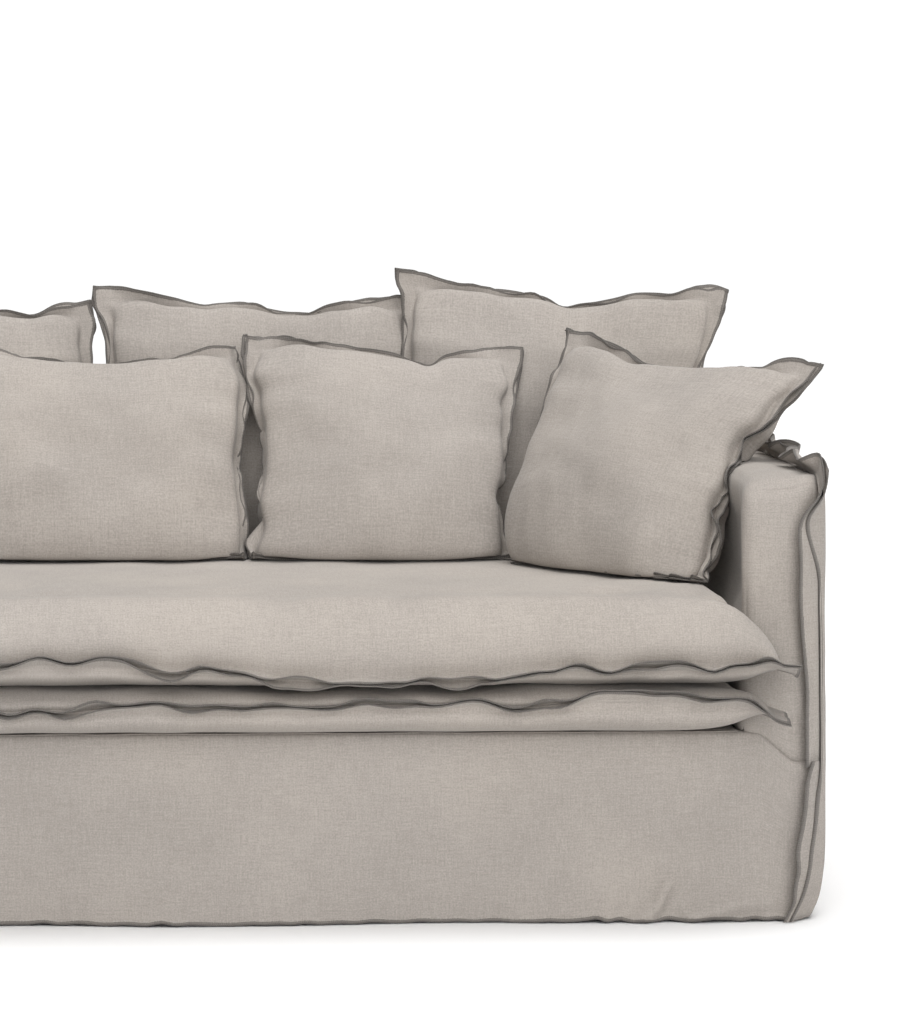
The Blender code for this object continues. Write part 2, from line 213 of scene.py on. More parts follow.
def closed_pad(name, idx, quads, front, back, half_front, half_back, ri, rj, seam_ring,
               cloth, dist, along, material, level=1):
    """A filled piece: front and back sheets that meet at the seam, and outside
    it a flange of two separate layers. front and back are the middle surfaces
    of the two sheets on the same grid."""
    n = len(front)
    na, nb = idx.shape
    ring = np.minimum(ri[:, None], rj[None, :]).reshape(-1)
    nf = point_normals(front, quads)
    nbk = -point_normals(back, quads)
    hf = half_front[:, None]
    hb = half_back[:, None]
    fo, bo = front + nf * hf, back + nbk * hb
    fi, bi = front - nf * hf, back - nbk * hb
    crease = 0.5 * (front + back)
    in_flange = ring < seam_ring
    # point numbers: 0..n front outer, n..2n back outer, then inner rings
    P = [fo, bo]
    count = 2 * n
    fi_no = np.full(n, -1)
    bi_no = np.full(n, -1)
    rim = np.nonzero(in_flange)[0]
    fi_no[rim] = count + np.arange(len(rim))
    P.append(fi[rim])
    count += len(rim)
    bi_no[rim] = count + np.arange(len(rim))
    P.append(bi[rim])
    count += len(rim)
    seam = np.nonzero((ring == seam_ring))[0]
    # only the seam line itself gets crease points
    ii, jj = seam // nb, seam % nb
    on_line = (((ri[ii] == seam_ring) & ((ii == seam_ring) | (ii == na - 1 - seam_ring)) & (jj >= seam_ring) & (jj <= nb - 1 - seam_ring))
               | (((jj == seam_ring) | (jj == nb - 1 - seam_ring)) & (ii >= seam_ring) & (ii <= na - 1 - seam_ring)))
    seam = seam[on_line]
    fi_no[seam] = bi_no[seam] = count + np.arange(len(seam))
    P.append(crease[seam])
    P = np.concatenate(P)
    flange_q = in_flange[quads].any(1)
    fq = quads[flange_q]
    Q = [quads, (quads + n)[:, ::-1], fi_no[fq][:, ::-1], bi_no[fq]]
    src = [quads, quads[:, ::-1], fq[:, ::-1], fq]
    side = [np.zeros(len(quads)), np.ones(len(quads)), np.zeros(len(fq)), np.ones(len(fq))]
    # free-edge walls
    loop = np.concatenate([idx[:-1, 0], idx[-1, :-1], idx[:0:-1, -1], idx[0, :0:-1]])
    nxt = np.roll(loop, -1)
    Q.append(np.stack([loop, fi_no[loop], fi_no[nxt], nxt], 1))
    Q.append(np.stack([loop + n, nxt + n, bi_no[nxt], bi_no[loop]], 1))
    src += [np.stack([loop, loop, nxt, nxt], 1), np.stack([loop, nxt, nxt, loop], 1)]
    side += [np.zeros(len(loop)), np.ones(len(loop))]
    Q, src, side = np.concatenate(Q), np.concatenate(src), np.concatenate(side)
    uv = cloth[src] + side[:, None, None] * np.array([3.17, 1.39])
    ed = np.stack([along, dist], 1)[src]
    ed[..., 0] += side[:, None] * 7.77
    ob = build(name, P, Q.astype(int), uv, ed, material, level=level)
    return ob


# ------------------------------------------------------- scatter and back cushions
# corners: bottom x, y; top x, y, height above the floor (tips of the flange)
# edges: (share from the bottom or the left, millimetres outside the straight line)
R_BACK = [(0, 0), (0.2, -15), (0.39, -30), (0.5, -20), (0.6, -10), (0.67, -6), (0.75, -6), (0.82, -2), (0.91, 4), (0.98, 1), (1, 0)]
L_BACK4 = [(0, 0), (0.3, -6), (0.6, -12), (0.8, -14), (0.9, -9), (0.95, 1), (1, 1)]
T_BACK4 = [(0, 1), (0.051, 0), (0.151, -13), (0.241, -20), (0.34, -23), (0.431, -28), (0.513, -42), (0.591, -36),
           (0.719, -17), (0.839, -13), (0.889, 0), (0.968, 5), (1, -4)]
R_BACK3 = [(0, 0), (0.3, -9), (0.5, -4), (0.7, 9), (0.77, 13), (0.81, 8), (0.9, 8), (0.965, 11), (1, 2)]
L_BACK3 = [(0, 0), (0.3, -8), (0.6, -15), (0.7, -17), (0.77, -16), (0.865, -8), (0.926, 2), (1, -1)]
T_BACK3 = [(0, 4), (0.068, 5), (0.209, -8), (0.322, -19), (0.42, -14), (0.482, -15), (0.559, -25), (0.667, -26),
           (0.71, -16), (0.771, -8), (0.861, 1), (0.932, 5), (0.975, 0), (1.0, -8)]
T_BACK2 = [(0, 2), (0.1, 3), (0.22, -8), (0.36, -22), (0.5, -26), (0.62, -17), (0.725, -20), (0.807, -27), (0.879, -9), (1, -3)]
R_BACK2 = [(0, 0), (0.3, -6), (0.6, 2), (0.73, 6), (0.81, 5), (0.889, 12), (1, 4)]
T_PIL3 = [(0, -1), (0.1, -6), (0.199, -15), (0.277, -27), (0.393, -34), (0.512, -40), (0.64, -31), (0.772, -21), (0.881, -6), (1, -1)]
R_PIL3 = [(0, 5), (0.163, 6), (0.274, 3), (0.429, -1), (0.594, 7), (0.706, 15), (0.804, 14), (0.934, 2), (1, -1)]
L_PIL3 = [(0, 3), (0.2, 5), (0.36, -2), (0.5, 4), (0.66, 11), (0.8, 10), (0.92, 1), (1, -2)]
T_PIL4 = [(0, -1), (0.151, -1), (0.256, -10), (0.411, -16), (0.566, -25), (0.664, -39), (0.703, -24), (0.848, -5), (0.942, 2), (1, 0)]
R_PIL4 = [(0, -4), (0.04, -13), (0.169, -22), (0.278, -37), (0.345, -20), (0.493, -17), (0.693, -10), (0.875, 0), (0.976, 3), (1, 1)]
L_PIL4 = [(0, 1), (0.064, 9), (0.168, -20), (0.258, -9), (0.404, -22), (0.56, -19), (0.694, -5), (0.815, 3), (0.931, 7), (1, 2)]
T_PIL5 = [(0, -1), (0.114, -5), (0.25, -21), (0.353, -40), (0.46, -40), (0.575, -37), (0.689, -24), (0.708, -16), (0.808, -12),
          (0.844, -3), (0.913, 4), (1, 5)]
R_PIL5 = [(0, 2), (0.036, -23), (0.091, -18), (0.163, -26), (0.237, -32), (0.298, -48), (0.386, -44), (0.423, -40), (0.502, -56),
          (0.567, -66), (0.639, -64), (0.667, -43), (0.718, -37), (0.796, -37), (0.835, -24), (0.919, -6), (1, -2)]
L_PIL5 = [(0, -8), (0.056, 5), (0.178, 32), (0.265, 29), (0.39, 17), (0.697, 7), (0.857, 5), (1, 6)]


def mirrored(table):
    return [(1 - a, b) for a, b in reversed(table)]


def uneven(table, seed, by=3.0):
    r = np.random.default_rng(seed)
    return [(a, b * (1 + 0.15 * r.normal()) + by * r.normal() * (0 < a < 1)) for a, b in table]


# how much of the flange shows between seam and edge (millimetres), and the
# places where loops of the bottom flange peek out (share, strength)
SEEN = {"back": ([(0, 12), (0.5, 12), (0.8, 14), (1, 19)], [(0, 12), (0.5, 10), (0.8, 15), (1, 20)],
                 [(0, 19), (0.08, 14), (0.3, 9), (0.55, 8), (0.8, 10), (0.93, 14), (1, 19)]),
        "pillow": ([(0, 9), (0.2, 5), (0.5, 6), (0.75, 13), (1, 18)], [(0, 9), (0.2, 5), (0.4, 6), (0.55, 13), (0.75, 19), (1, 20)],
                   [(0, 18), (0.1, 12), (0.3, 8), (0.5, 7), (0.66, 9), (0.8, 9), (0.92, 12), (1, 19)]),
        "corner": ([(0, 8), (0.3, 8), (0.6, 9), (0.85, 13), (1, 24)], [(0, 12), (0.15, 10), (0.3, 13), (0.45, 9), (0.7, 8), (0.9, 10), (1, 23)],
                   [(0, 24), (0.12, 18), (0.28, 11), (0.42, 5), (0.5, 1), (0.6, 1), (0.68, 5), (0.8, 9), (0.9, 15), (1, 24)])}
PEEKS = {"pillow_3": [(0.30, 0.5), (0.52, 0.9), (0.57, 0.7), (0.93, 0.8), (0.98, 1.0)],
         "pillow_4": [(0.02, 1.0), (0.06, 0.7), (0.60, 0.35), (0.95, 1.0)],
         "pillow_5": [(0.44, 0.6), (0.56, 0.9), (0.63, 0.8), (0.71, 1.0), (0.79, 0.9), (0.86, 1.0), (0.94, 1.0)],
         "pillow_1": [(0.06, 1.0), (0.15, 0.9), (0.24, 1.0), (0.36, 0.8), (0.5, 0.7)],
         "pillow_2": [(0.03, 0.9), (0.40, 0.5), (0.94, 1.0), (0.98, 0.8)]}


CUSHIONS = [
    # name, kind, bottom left, bottom right, top left, top right, edges left, right, top, seed
    ("back_cushion_1", "back", (-0.876, 0.235), (-0.449, 0.225), (-0.990, 0.300, 0.862), (-0.466, 0.295, 0.886),
     uneven(R_BACK, 5, 1.5), uneven(L_BACK4, 6), uneven(mirrored(T_BACK4), 7), 11),
    ("back_cushion_2", "back", (-0.440, 0.245), (-0.006, 0.235), (-0.505, 0.325, 0.846), (-0.013, 0.312, 0.842),
     uneven(R_BACK3, 8, 1.5), R_BACK2, T_BACK2, 12),
    ("back_cushion_3", "back", (0.006, 0.235), (0.440, 0.245), (-0.005, 0.305, 0.858), (0.503, 0.325, 0.842),
     L_BACK3, R_BACK3, T_BACK3, 13),
    ("back_cushion_4", "back", (0.449, 0.225), (0.876, 0.235), (0.466, 0.295, 0.890), (0.990, 0.300, 0.862),
     L_BACK4, R_BACK, T_BACK4, 14),
    ("pillow_1", "corner", (-0.872, -0.350), (-0.620, -0.035), (-1.048, -0.215, 0.765), (-0.720, 0.130, 0.800),
     uneven(R_PIL5, 15, 1.5), uneven(L_PIL5, 16, 1.5), uneven(mirrored(T_PIL5), 17), 15),
    ("pillow_2", "pillow", (-0.632, 0.030), (-0.238, 0.030), (-0.655, 0.200, 0.775), (-0.243, 0.200, 0.790),
     uneven(R_PIL4, 18, 2), uneven(L_PIL4, 19, 2), uneven(mirrored(T_PIL4), 20), 16),
    ("pillow_3", "pillow", (-0.232, 0.030), (0.222, 0.030), (-0.235, 0.200, 0.785), (0.214, 0.200, 0.774),
     L_PIL3, R_PIL3, T_PIL3, 17),
    ("pillow_4", "pillow", (0.231, 0.030), (0.632, 0.030), (0.228, 0.200, 0.793), (0.655, 0.200, 0.771),
     L_PIL4, R_PIL4, T_PIL4, 18),
    ("pillow_5", "corner", (0.620, -0.035), (0.872, -0.355), (0.721, 0.130, 0.805), (1.054, -0.220, 0.763),
     L_PIL5, R_PIL5, T_PIL5, 19),
]
# thickness, size of a grid cell
KIND = {"back": (0.150, 0.0125), "pillow": (0.135, 0.0095), "corner": (0.130, 0.0094)}


def arm_dent(y, z):
    """How far the corner pillow presses the inner face of the arm outward."""
    low_high = step(z, 0.380, 0.480) * (1 - 0.55 * step(z, 0.540, 0.612))
    return 0.027 * np.exp(-((y + 0.31) / 0.17) ** 2) * step(y, -0.500, -0.430) * low_high


def out_of_arm(P, gap):
    """Pushes points out of the arms: inner face, rounded inner edge and top,
    with the dent that the corner pillow presses into the edge. In place."""
    side = np.sign(P[:, 0])
    x = np.abs(P[:, 0])
    y, z = P[:, 1], P[:, 2]
    x0 = ARM_IN + arm_dent(y, z)
    near = (y > FRONT_Y - 0.01) & (y < BACK_Y)
    r = INNER_R
    a, b = x - (x0 + r), z - (ARM_H - r)
    # beside the face
    m = near & (b <= 0) & (x > x0 - gap)
    x = np.where(m, x0 - gap, x)
    # round the edge
    rr = np.hypot(np.minimum(a, 0), np.maximum(b, 0))
    m = near & (b > 0) & (a < 0) & (rr < r + gap)
    f = (r + gap) / np.maximum(rr, 1e-6)
    x = np.where(m, x0 + r + np.minimum(a, 0) * f, x)
    z = np.where(m, ARM_H - r + np.maximum(b, 0) * f, z)
    # on top
    m = near & (a >= 0) & (z < ARM_H + gap)
    z = np.where(m, ARM_H + gap, z)
    P[:, 0], P[:, 2] = side * x, z


def cushion(row):
    name, kind, bl, br, tl, tr, left, right, top, seed = row
    thick, cell = KIND[kind]
    base = SEAT_Z + 0.0045
    foot = base + 0.0036
    bl, br = np.array([*bl, foot]), np.array([*br, foot])
    tl, tr = np.array(tl), np.array(tr)
    across = unit((br - bl) + (tr - tl))
    up = unit((tl - bl) + (tr - br))
    out = unit(np.cross(across, up))
    ahead = unit(out * [1, 1, 0])
    W = 0.5 * (np.linalg.norm(br - bl) + np.linalg.norm(tr - tl))
    H = 0.5 * (np.linalg.norm(tl - bl) + np.linalg.norm(tr - br)) + FLANGE

    def lines(total):
        inner = FLANGE + np.array([0.005, 0.012, 0.021])
        n = max(4, int(round((total - 2 * inner[-1]) / cell)))
        mid = np.linspace(inner[-1], total - inner[-1], n + 1)[1:-1]
        half = np.concatenate([RINGS, inner])
        return np.concatenate([half, mid, total - half[::-1]])

    a, b = lines(W), lines(H)
    idx, quads = weld_frame(a, b)
    U, V = (g.reshape(-1) for g in np.meshgrid(a, b, indexing='ij'))
    du, dv = np.minimum(U, W - U), np.minimum(V, H - V)
    s = U / W
    # the bottom flange is extra cloth, turned forward; t runs over the rest
    t = np.clip((V - FLANGE) / (H - FLANGE), 0, 1)
    chord_l = bl + (tl - bl) * t[:, None]
    chord_r = br + (tr - br) * t[:, None]
    P = chord_l * (1 - s[:, None]) + chord_r * s[:, None]

    def offset(table, at, length):
        fine = curve(table, at, 0.007 / length) / 1000
        coarse = curve(table, at, 0.05 / length) / 1000
        return coarse, fine - coarse

    d_r, d_l, d_t = W - U, U, H - V
    seen_l, seen_r, seen_t = SEEN[kind]
    if name in ("back_cushion_1", "pillow_1", "pillow_2"):
        seen_l, seen_r, seen_t = seen_r, seen_l, mirrored(seen_t)
    if name == "pillow_3":
        seen_r = [(0, 8), (0.2, 6), (0.5, 9), (0.75, 9), (1, 7)]
        seen_t = [(0, 18), (0.1, 12), (0.3, 8), (0.5, 5), (0.66, 6), (0.8, 6), (1, 5)]
    turn = np.zeros(len(P))
    grown = np.zeros((len(P), 3))
    for table, shown, at, dist, length, share, direction, sgn in (
            (left, seen_l, t, d_l, H, 1 - s, -across, -1 if name == "pillow_1" else 1),
            (right, seen_r, t, d_r, H, s, across, -1 if name == "pillow_5" else 1),
            (top, seen_t, s, d_t, W, t, up, 1)):
        coarse, fine = offset(table, at, length)
        w = share ** 1.5
        P += direction * (coarse * w + fine * np.exp(-(dist / (FLANGE * (2.3 if direction is up else 1.6))) ** 2))[:, None]
        # the body swells out towards the edge, and the flange turns away behind it
        cover = (9.5 if kind == "back" else 14.5) if direction is up else 3.5
        wide = (curve(shown, at, 0.02 / length) * (1 + 0.12 * field(at * length, seed + 30, 0.05, 0.14, 9)) + cover) / 1000
        wide = np.clip(wide, 0.002, 0.0265)
        inside = np.exp(-np.clip(dist - FLANGE, 0, None) / 0.11)
        grow = (FLANGE - wide) * np.where(dist < FLANGE, dist / FLANGE, inside)
        P += direction * grow[:, None]
        grown = grown + direction * grow[:, None]
        lowly = np.exp(-(t / 0.16) ** 2) if direction is not up else 0.0
        twist = 1 - 0.9 * lowly * np.maximum(0, np.sin(2 * math.pi * t * H / 0.052 + seed))
        depth = np.sqrt(np.maximum(FLANGE ** 2 - wide ** 2, 0)) * 0.72 * twist
        if direction is not up:
            depth = depth * (1 - step(wide, 0.011, 0.018)) - 0.0025 * step(wide, 0.014, 0.021)
        if direction is up:
            depth = -0.35 * depth
        turn += sgn * depth * (np.where(dist < FLANGE, 0.5 - dist / FLANGE, -0.5 * np.exp(-np.clip(dist - FLANGE, 0, None) / 0.07)))
    turn = np.clip(turn, -0.013, 0.013)
    P += np.array([0.081, 0.994, -0.079]) * (turn * step(V, FLANGE, FLANGE * 2))[:, None]

    # swollen body
    bu = np.clip((U - FLANGE) / (W - 2 * FLANGE) * 2 - 1, -1, 1)
    bv = np.clip((V - FLANGE) / (H - 2 * FLANGE) * 2 - 1, -1, 1)

    def dome(q, e, foot_q):
        side = (1 - np.abs(bu) ** q) ** e
        lower = np.sqrt(1 - np.abs(bv) ** foot_q)
        upper = (1 - np.abs(bv) ** q) ** e
        return side * np.where(bv < 0, lower, upper)

    soft = 1 + 0.050 * field(np.stack([U, V], 1), seed, 0.16, 0.42, 8) + (0.006 if kind == "corner" else 0.014) * field(np.stack([U, V], 1), seed + 80, 0.06, 0.13, 12)
    lean_out = (1 - 0.16 * bv) * soft * thick / 2
    half_f, half_b = lean_out * dome(2.9, 0.56, 4.2), lean_out * dome(3.0, 0.5, 3.6)
    # the swell runs a little past the seam, so the flange starts in a crease
    bulge = lambda d, reach: step(d, 0.0, 0.010) * (1 - step(d, 0.012, reach))
    spill = (across * (0.0105 * (bulge(W - U - FLANGE, 0.055) - bulge(U - FLANGE, 0.055)) * step(dv, FLANGE, FLANGE + 0.035))[:, None]
             + up * (0.0150 * bulge(H - V - FLANGE, 0.060) * step(du, FLANGE, FLANGE + 0.045))[:, None])
    body = ((du > FLANGE - 1e-6) & (dv > FLANGE - 1e-6)).astype(float)
    # at the foot it sags over its own flange
    d_foot = np.clip(V - FLANGE, 0, None)
    sag = 0.025 * (1 - np.exp(-d_foot / 0.012)) * np.exp(-(d_foot / 0.11) ** 2) * body
    low_turn = (1 - step(d_foot, 0.0, 0.10))[:, None]
    out_f = unit(out * (1 - low_turn) + ahead * low_turn)
    out_b = unit(out * (1 - low_turn) + ahead * low_turn)

    dist = np.minimum(du, dv)
    from_seam = np.clip(FLANGE - dist, 0, FLANGE) / FLANGE
    ring_along = np.where(du < dv, V, U) + np.where(du < dv, np.where(U < W / 2, 0, 5.3), np.where(V < H / 2, 2.1, 9.4))
    # flange: both layers wave together, and each one also on its own
    f3 = np.stack([P @ across, P @ up, np.zeros(len(P))], 1)
    w_both = field(f3 + seed, seed + 50, 0.07, 0.17, 12)
    w_f = field(f3 + seed, seed + 51, 0.045, 0.12, 12)
    w_b = field(f3 + seed, seed + 52, 0.045, 0.12, 12)
    e = from_seam ** 1.35
    rag = 1 - step(t, 0.22, 0.42)
    lean = 0.0030 * w_both * e * (1 + 1.3 * rag)
    # the two layers don't end together
    short = (0.0016 + 0.0028 * field(f3, seed + 53, 0.05, 0.16, 10)) * from_seam
    outward = (np.where(du < dv, np.where(U < W / 2, -1.0, 1.0), 0.0)[:, None] * across
               + np.where(dv <= du, 1.0, 0.0)[:, None] * up)
    ripple = 0.0007 * field(f3, seed + 54, 0.016, 0.035, 14) * from_seam
    open_f = (0.0013 + e * (0.0012 + 0.0018 * np.maximum(0, w_f + 0.3)))
    open_b = (0.0013 + e * (0.0012 + 0.0018 * np.maximum(0, w_b + 0.3)))
    open_f = open_f + e * rag * 0.0016 * (1 + w_f)
    open_b = open_b + e * rag * 0.0016 * (1 + w_b)
    zig_f = zig_b = np.zeros(len(P))
    if kind == "corner":
        arm_side = np.where((U > W / 2) == (name == "pillow_5"), 1.0, 0.0) * (1 - step(t, 0.55, 0.75))
        open_f = open_f + e * arm_side * 0.0022
        open_b = open_b + e * arm_side * 0.0015
        z_at = V / 0.036 + 0.35 * field(V, seed + 56, 0.09, 0.2, 6)
        zig_f = 0.0034 * np.arcsin(np.sin(2 * math.pi * z_at)) * from_seam * arm_side
        zig_b = 0.0030 * np.arcsin(np.sin(2 * math.pi * z_at + 1.1)) * from_seam * arm_side
    seed_f = 0.0007 * field(P, seed + 60, 0.02, 0.05, 22) + 0.0010 * field(P, seed + 61, 0.05, 0.12, 14)
    seed_b = 0.0007 * field(P + 1, seed + 62, 0.02, 0.05, 22) + 0.0010 * field(P + 1, seed + 63, 0.05, 0.12, 14)
    down = np.array([0, 0, 1.0])
    front = P + spill * body[:, None] - down * sag[:, None] + out_f * (half_f * body)[:, None] + out * (lean + open_f)[:, None]
    if kind == "pillow":
        thick_side = lambda d: step(d, 0.0, 0.028) * (1 - step(d, 0.05, 0.16))
        wide_back = across * (0.014 * (thick_side(W - U - FLANGE) - thick_side(U - FLANGE)) * step(dv, FLANGE, FLANGE + 0.06)
                              * (0.5 + 0.5 * step(t, 0.10, 0.30)))[:, None]
    else:
        wide_back = 0.0
    back = P + (spill + wide_back) * body[:, None] - down * (0.6 * sag)[:, None] + out_b * (-half_b * body)[:, None] + out * (lean - open_b)[:, None]
    front -= outward * (np.clip(short, 0, 0.006) + ripple + zig_f)[:, None]
    back -= outward * (np.clip(-short, 0, 0.006) - ripple + zig_b)[:, None]

    # bottom flange, folded forward on the seat under the swell
    low = V < FLANGE - 1e-6
    e_low = np.clip(FLANGE - V, 0, FLANGE)
    roll = field(U, seed + 70, 0.05, 0.13, 9)
    peek = np.zeros(len(U))
    for at, strength in PEEKS.get(name, [(0.22, 0.3), (0.7, 0.4)]):
        peek = np.maximum(peek, strength * np.exp(-((s - at) * W / 0.013) ** 2))
    seam_row = bl * (1 - s[:, None]) + br * s[:, None] + grown * [1, 1, 0]
    for arr, sgn in ((front, 1), (back, -1)):
        reach = (0.42 + 0.45 * peek) * (0.35 + 0.65 * step(du, 0.0, 0.10))
        fold = seam_row + ahead * (e_low * reach + 0.001 + 0.016 * peek * step(e_low, 0.0, 0.015))[:, None]
        drop = step(e_low, 0.0, 0.007)
        fold[:, 2] = (foot * (1 - drop) + (base + 0.0002) * drop + sgn * (0.0013 + 0.0003 * roll * drop)
                      + peek * 0.0085 * (e_low / FLANGE) ** 1.5 * (1.25 if sgn > 0 else 0.7))
        arr[low] = fold[low]
    # the front keeps clear of the folded flange
    lip = np.maximum(0, 1 - np.clip(d_foot, 0, None) / 0.05)

    def seat(X, gap):
        X[:, 2] = np.maximum(X[:, 2], SEAT_Z + gap)
        F = X[:len(body)]
        m = body > 0
        fwd = ((F[m] - seam_row[m]) * ahead).sum(1)
        F[m, 2] = np.maximum(F[m, 2], foot + 0.0006 * lip[m] - 0.0058 * step(fwd, 0.020, 0.036))

    both = np.concatenate([front, back])
    n = len(front)
    seat(both, 0.0020)
    out_of_arm(both, 0.0035)
    Q2 = np.concatenate([quads, quads + n])
    on_seam = (np.abs(dist - FLANGE) < 1e-5)
    mob1 = np.where(on_seam, 0.0, 1.0)
    mob1 = np.where(low, 0.25, mob1)
    d_in = np.clip(dist - FLANGE, 0, None)
    ex = np.where(dist < FLANGE, 0.010 + 0.050 * from_seam, 0.0)
    ex += np.where(d_in > 0, 0.045 * np.exp(-(d_in / 0.024) ** 2) + 0.008, 0.0)
    near_corner = np.exp(-((du ** 2 + dv ** 2) / 0.09 ** 2))
    ex += np.where(d_in > 0, 0.030 * near_corner, 0.0)
    cap1 = np.where(dist < FLANGE, 0.0012 + 0.0060 * from_seam, 0.0065)
    sd = np.concatenate([seed_f * (1 - on_seam), seed_b * (1 - on_seam)])
    start = both + np.repeat(out[None], 2 * n, 0) * sd[:, None]
    flange = np.nonzero((dist < FLANGE - 1e-6) & ~low)[0]

    def hold(X):
        F, B = X[:n], X[n:]
        g = ((F[flange] - B[flange]) * out).sum(1)
        fix = np.maximum(0, 0.0028 * np.clip(from_seam[flange] * 3, 0.9, 1) - g)[:, None] * 0.5 * out
        F[flange] += fix
        B[flange] -= fix
        lows = np.nonzero(low)[0]
        F[lows, 2] = np.maximum(F[lows, 2], B[lows, 2] + 0.0026)
        seat(X, 0.0020)
        out_of_arm(X, 0.0030)

    both = relax(both, start, Q2, np.tile(ex, 2), np.tile(mob1, 2), rounds=150, bend=0.035, tether=0.0015,
                 cap=np.tile(cap1, 2), hold=hold)
    front, back = both[:n], both[n:]
    band = np.where(dist < 0.0005, 0.00085, np.where(dist < 0.0065, 0.00115, 0.00060))
    cloth = np.stack([U, V], 1)
    ob = closed_pad(name + "_linen", idx, quads, front, back, band, band, ring_index(len(a), 5), ring_index(len(b), 5), 5,
                    cloth, dist, ring_along, LINEN["cushion_%d" % (seed % 3)])
    return ob, name


# ------------------------------------------------------- seat mattresses
UPPER_LINE = [(-0.13, 376), (-0.106, 377), (-0.089, 383), (-0.056, 381), (-0.006, 381), (0.01, 380), (0.045, 377), (0.064, 371),
              (0.087, 366), (0.105, 363), (0.12, 363), (0.14, 367), (0.158, 364), (0.173, 363), (0.208, 363), (0.22, 357),
              (0.233, 349), (0.283, 346), (0.321, 346), (0.359, 351), (0.397, 345), (0.448, 348), (0.473, 345), (0.505, 349),
              (0.536, 346), (0.561, 356), (0.586, 360), (0.623, 366), (0.656, 368), (0.697, 361), (0.728, 370), (0.752, 370),
              (0.791, 367), (0.809, 371), (0.834, 366), (0.845, 365), (0.868, 376), (0.9, 373), (0.921, 378), (0.929, 373),
              (0.939, 368), (0.965, 371)]
LOWER_LINE = [(-0.13, 302), (-0.08, 312), (-0.03, 308), (0.02, 315), (0.077, 320), (0.12, 314), (0.17, 318), (0.221, 315),
              (0.282, 313), (0.322, 317), (0.369, 320), (0.435, 321), (0.512, 319), (0.545, 316), (0.605, 315), (0.63, 319),
              (0.667, 328), (0.699, 332), (0.734, 336), (0.754, 330), (0.805, 333), (0.841, 326), (0.871, 320), (0.898, 321),
              (0.919, 309), (0.934, 296), (0.952, 288)]


def whole_line(table, x, seed):
    """The traced line on the right, carried on to the left as its uneven mirror."""
    ours = curve(table, x, 0.006) / 1000
    other = curve(table, -x, 0.010) / 1000 + 0.002 * field(x, seed, 0.08, 0.3, 8)
    w = step(x, -0.17, -0.11)
    return ours * w + other * (1 - w)


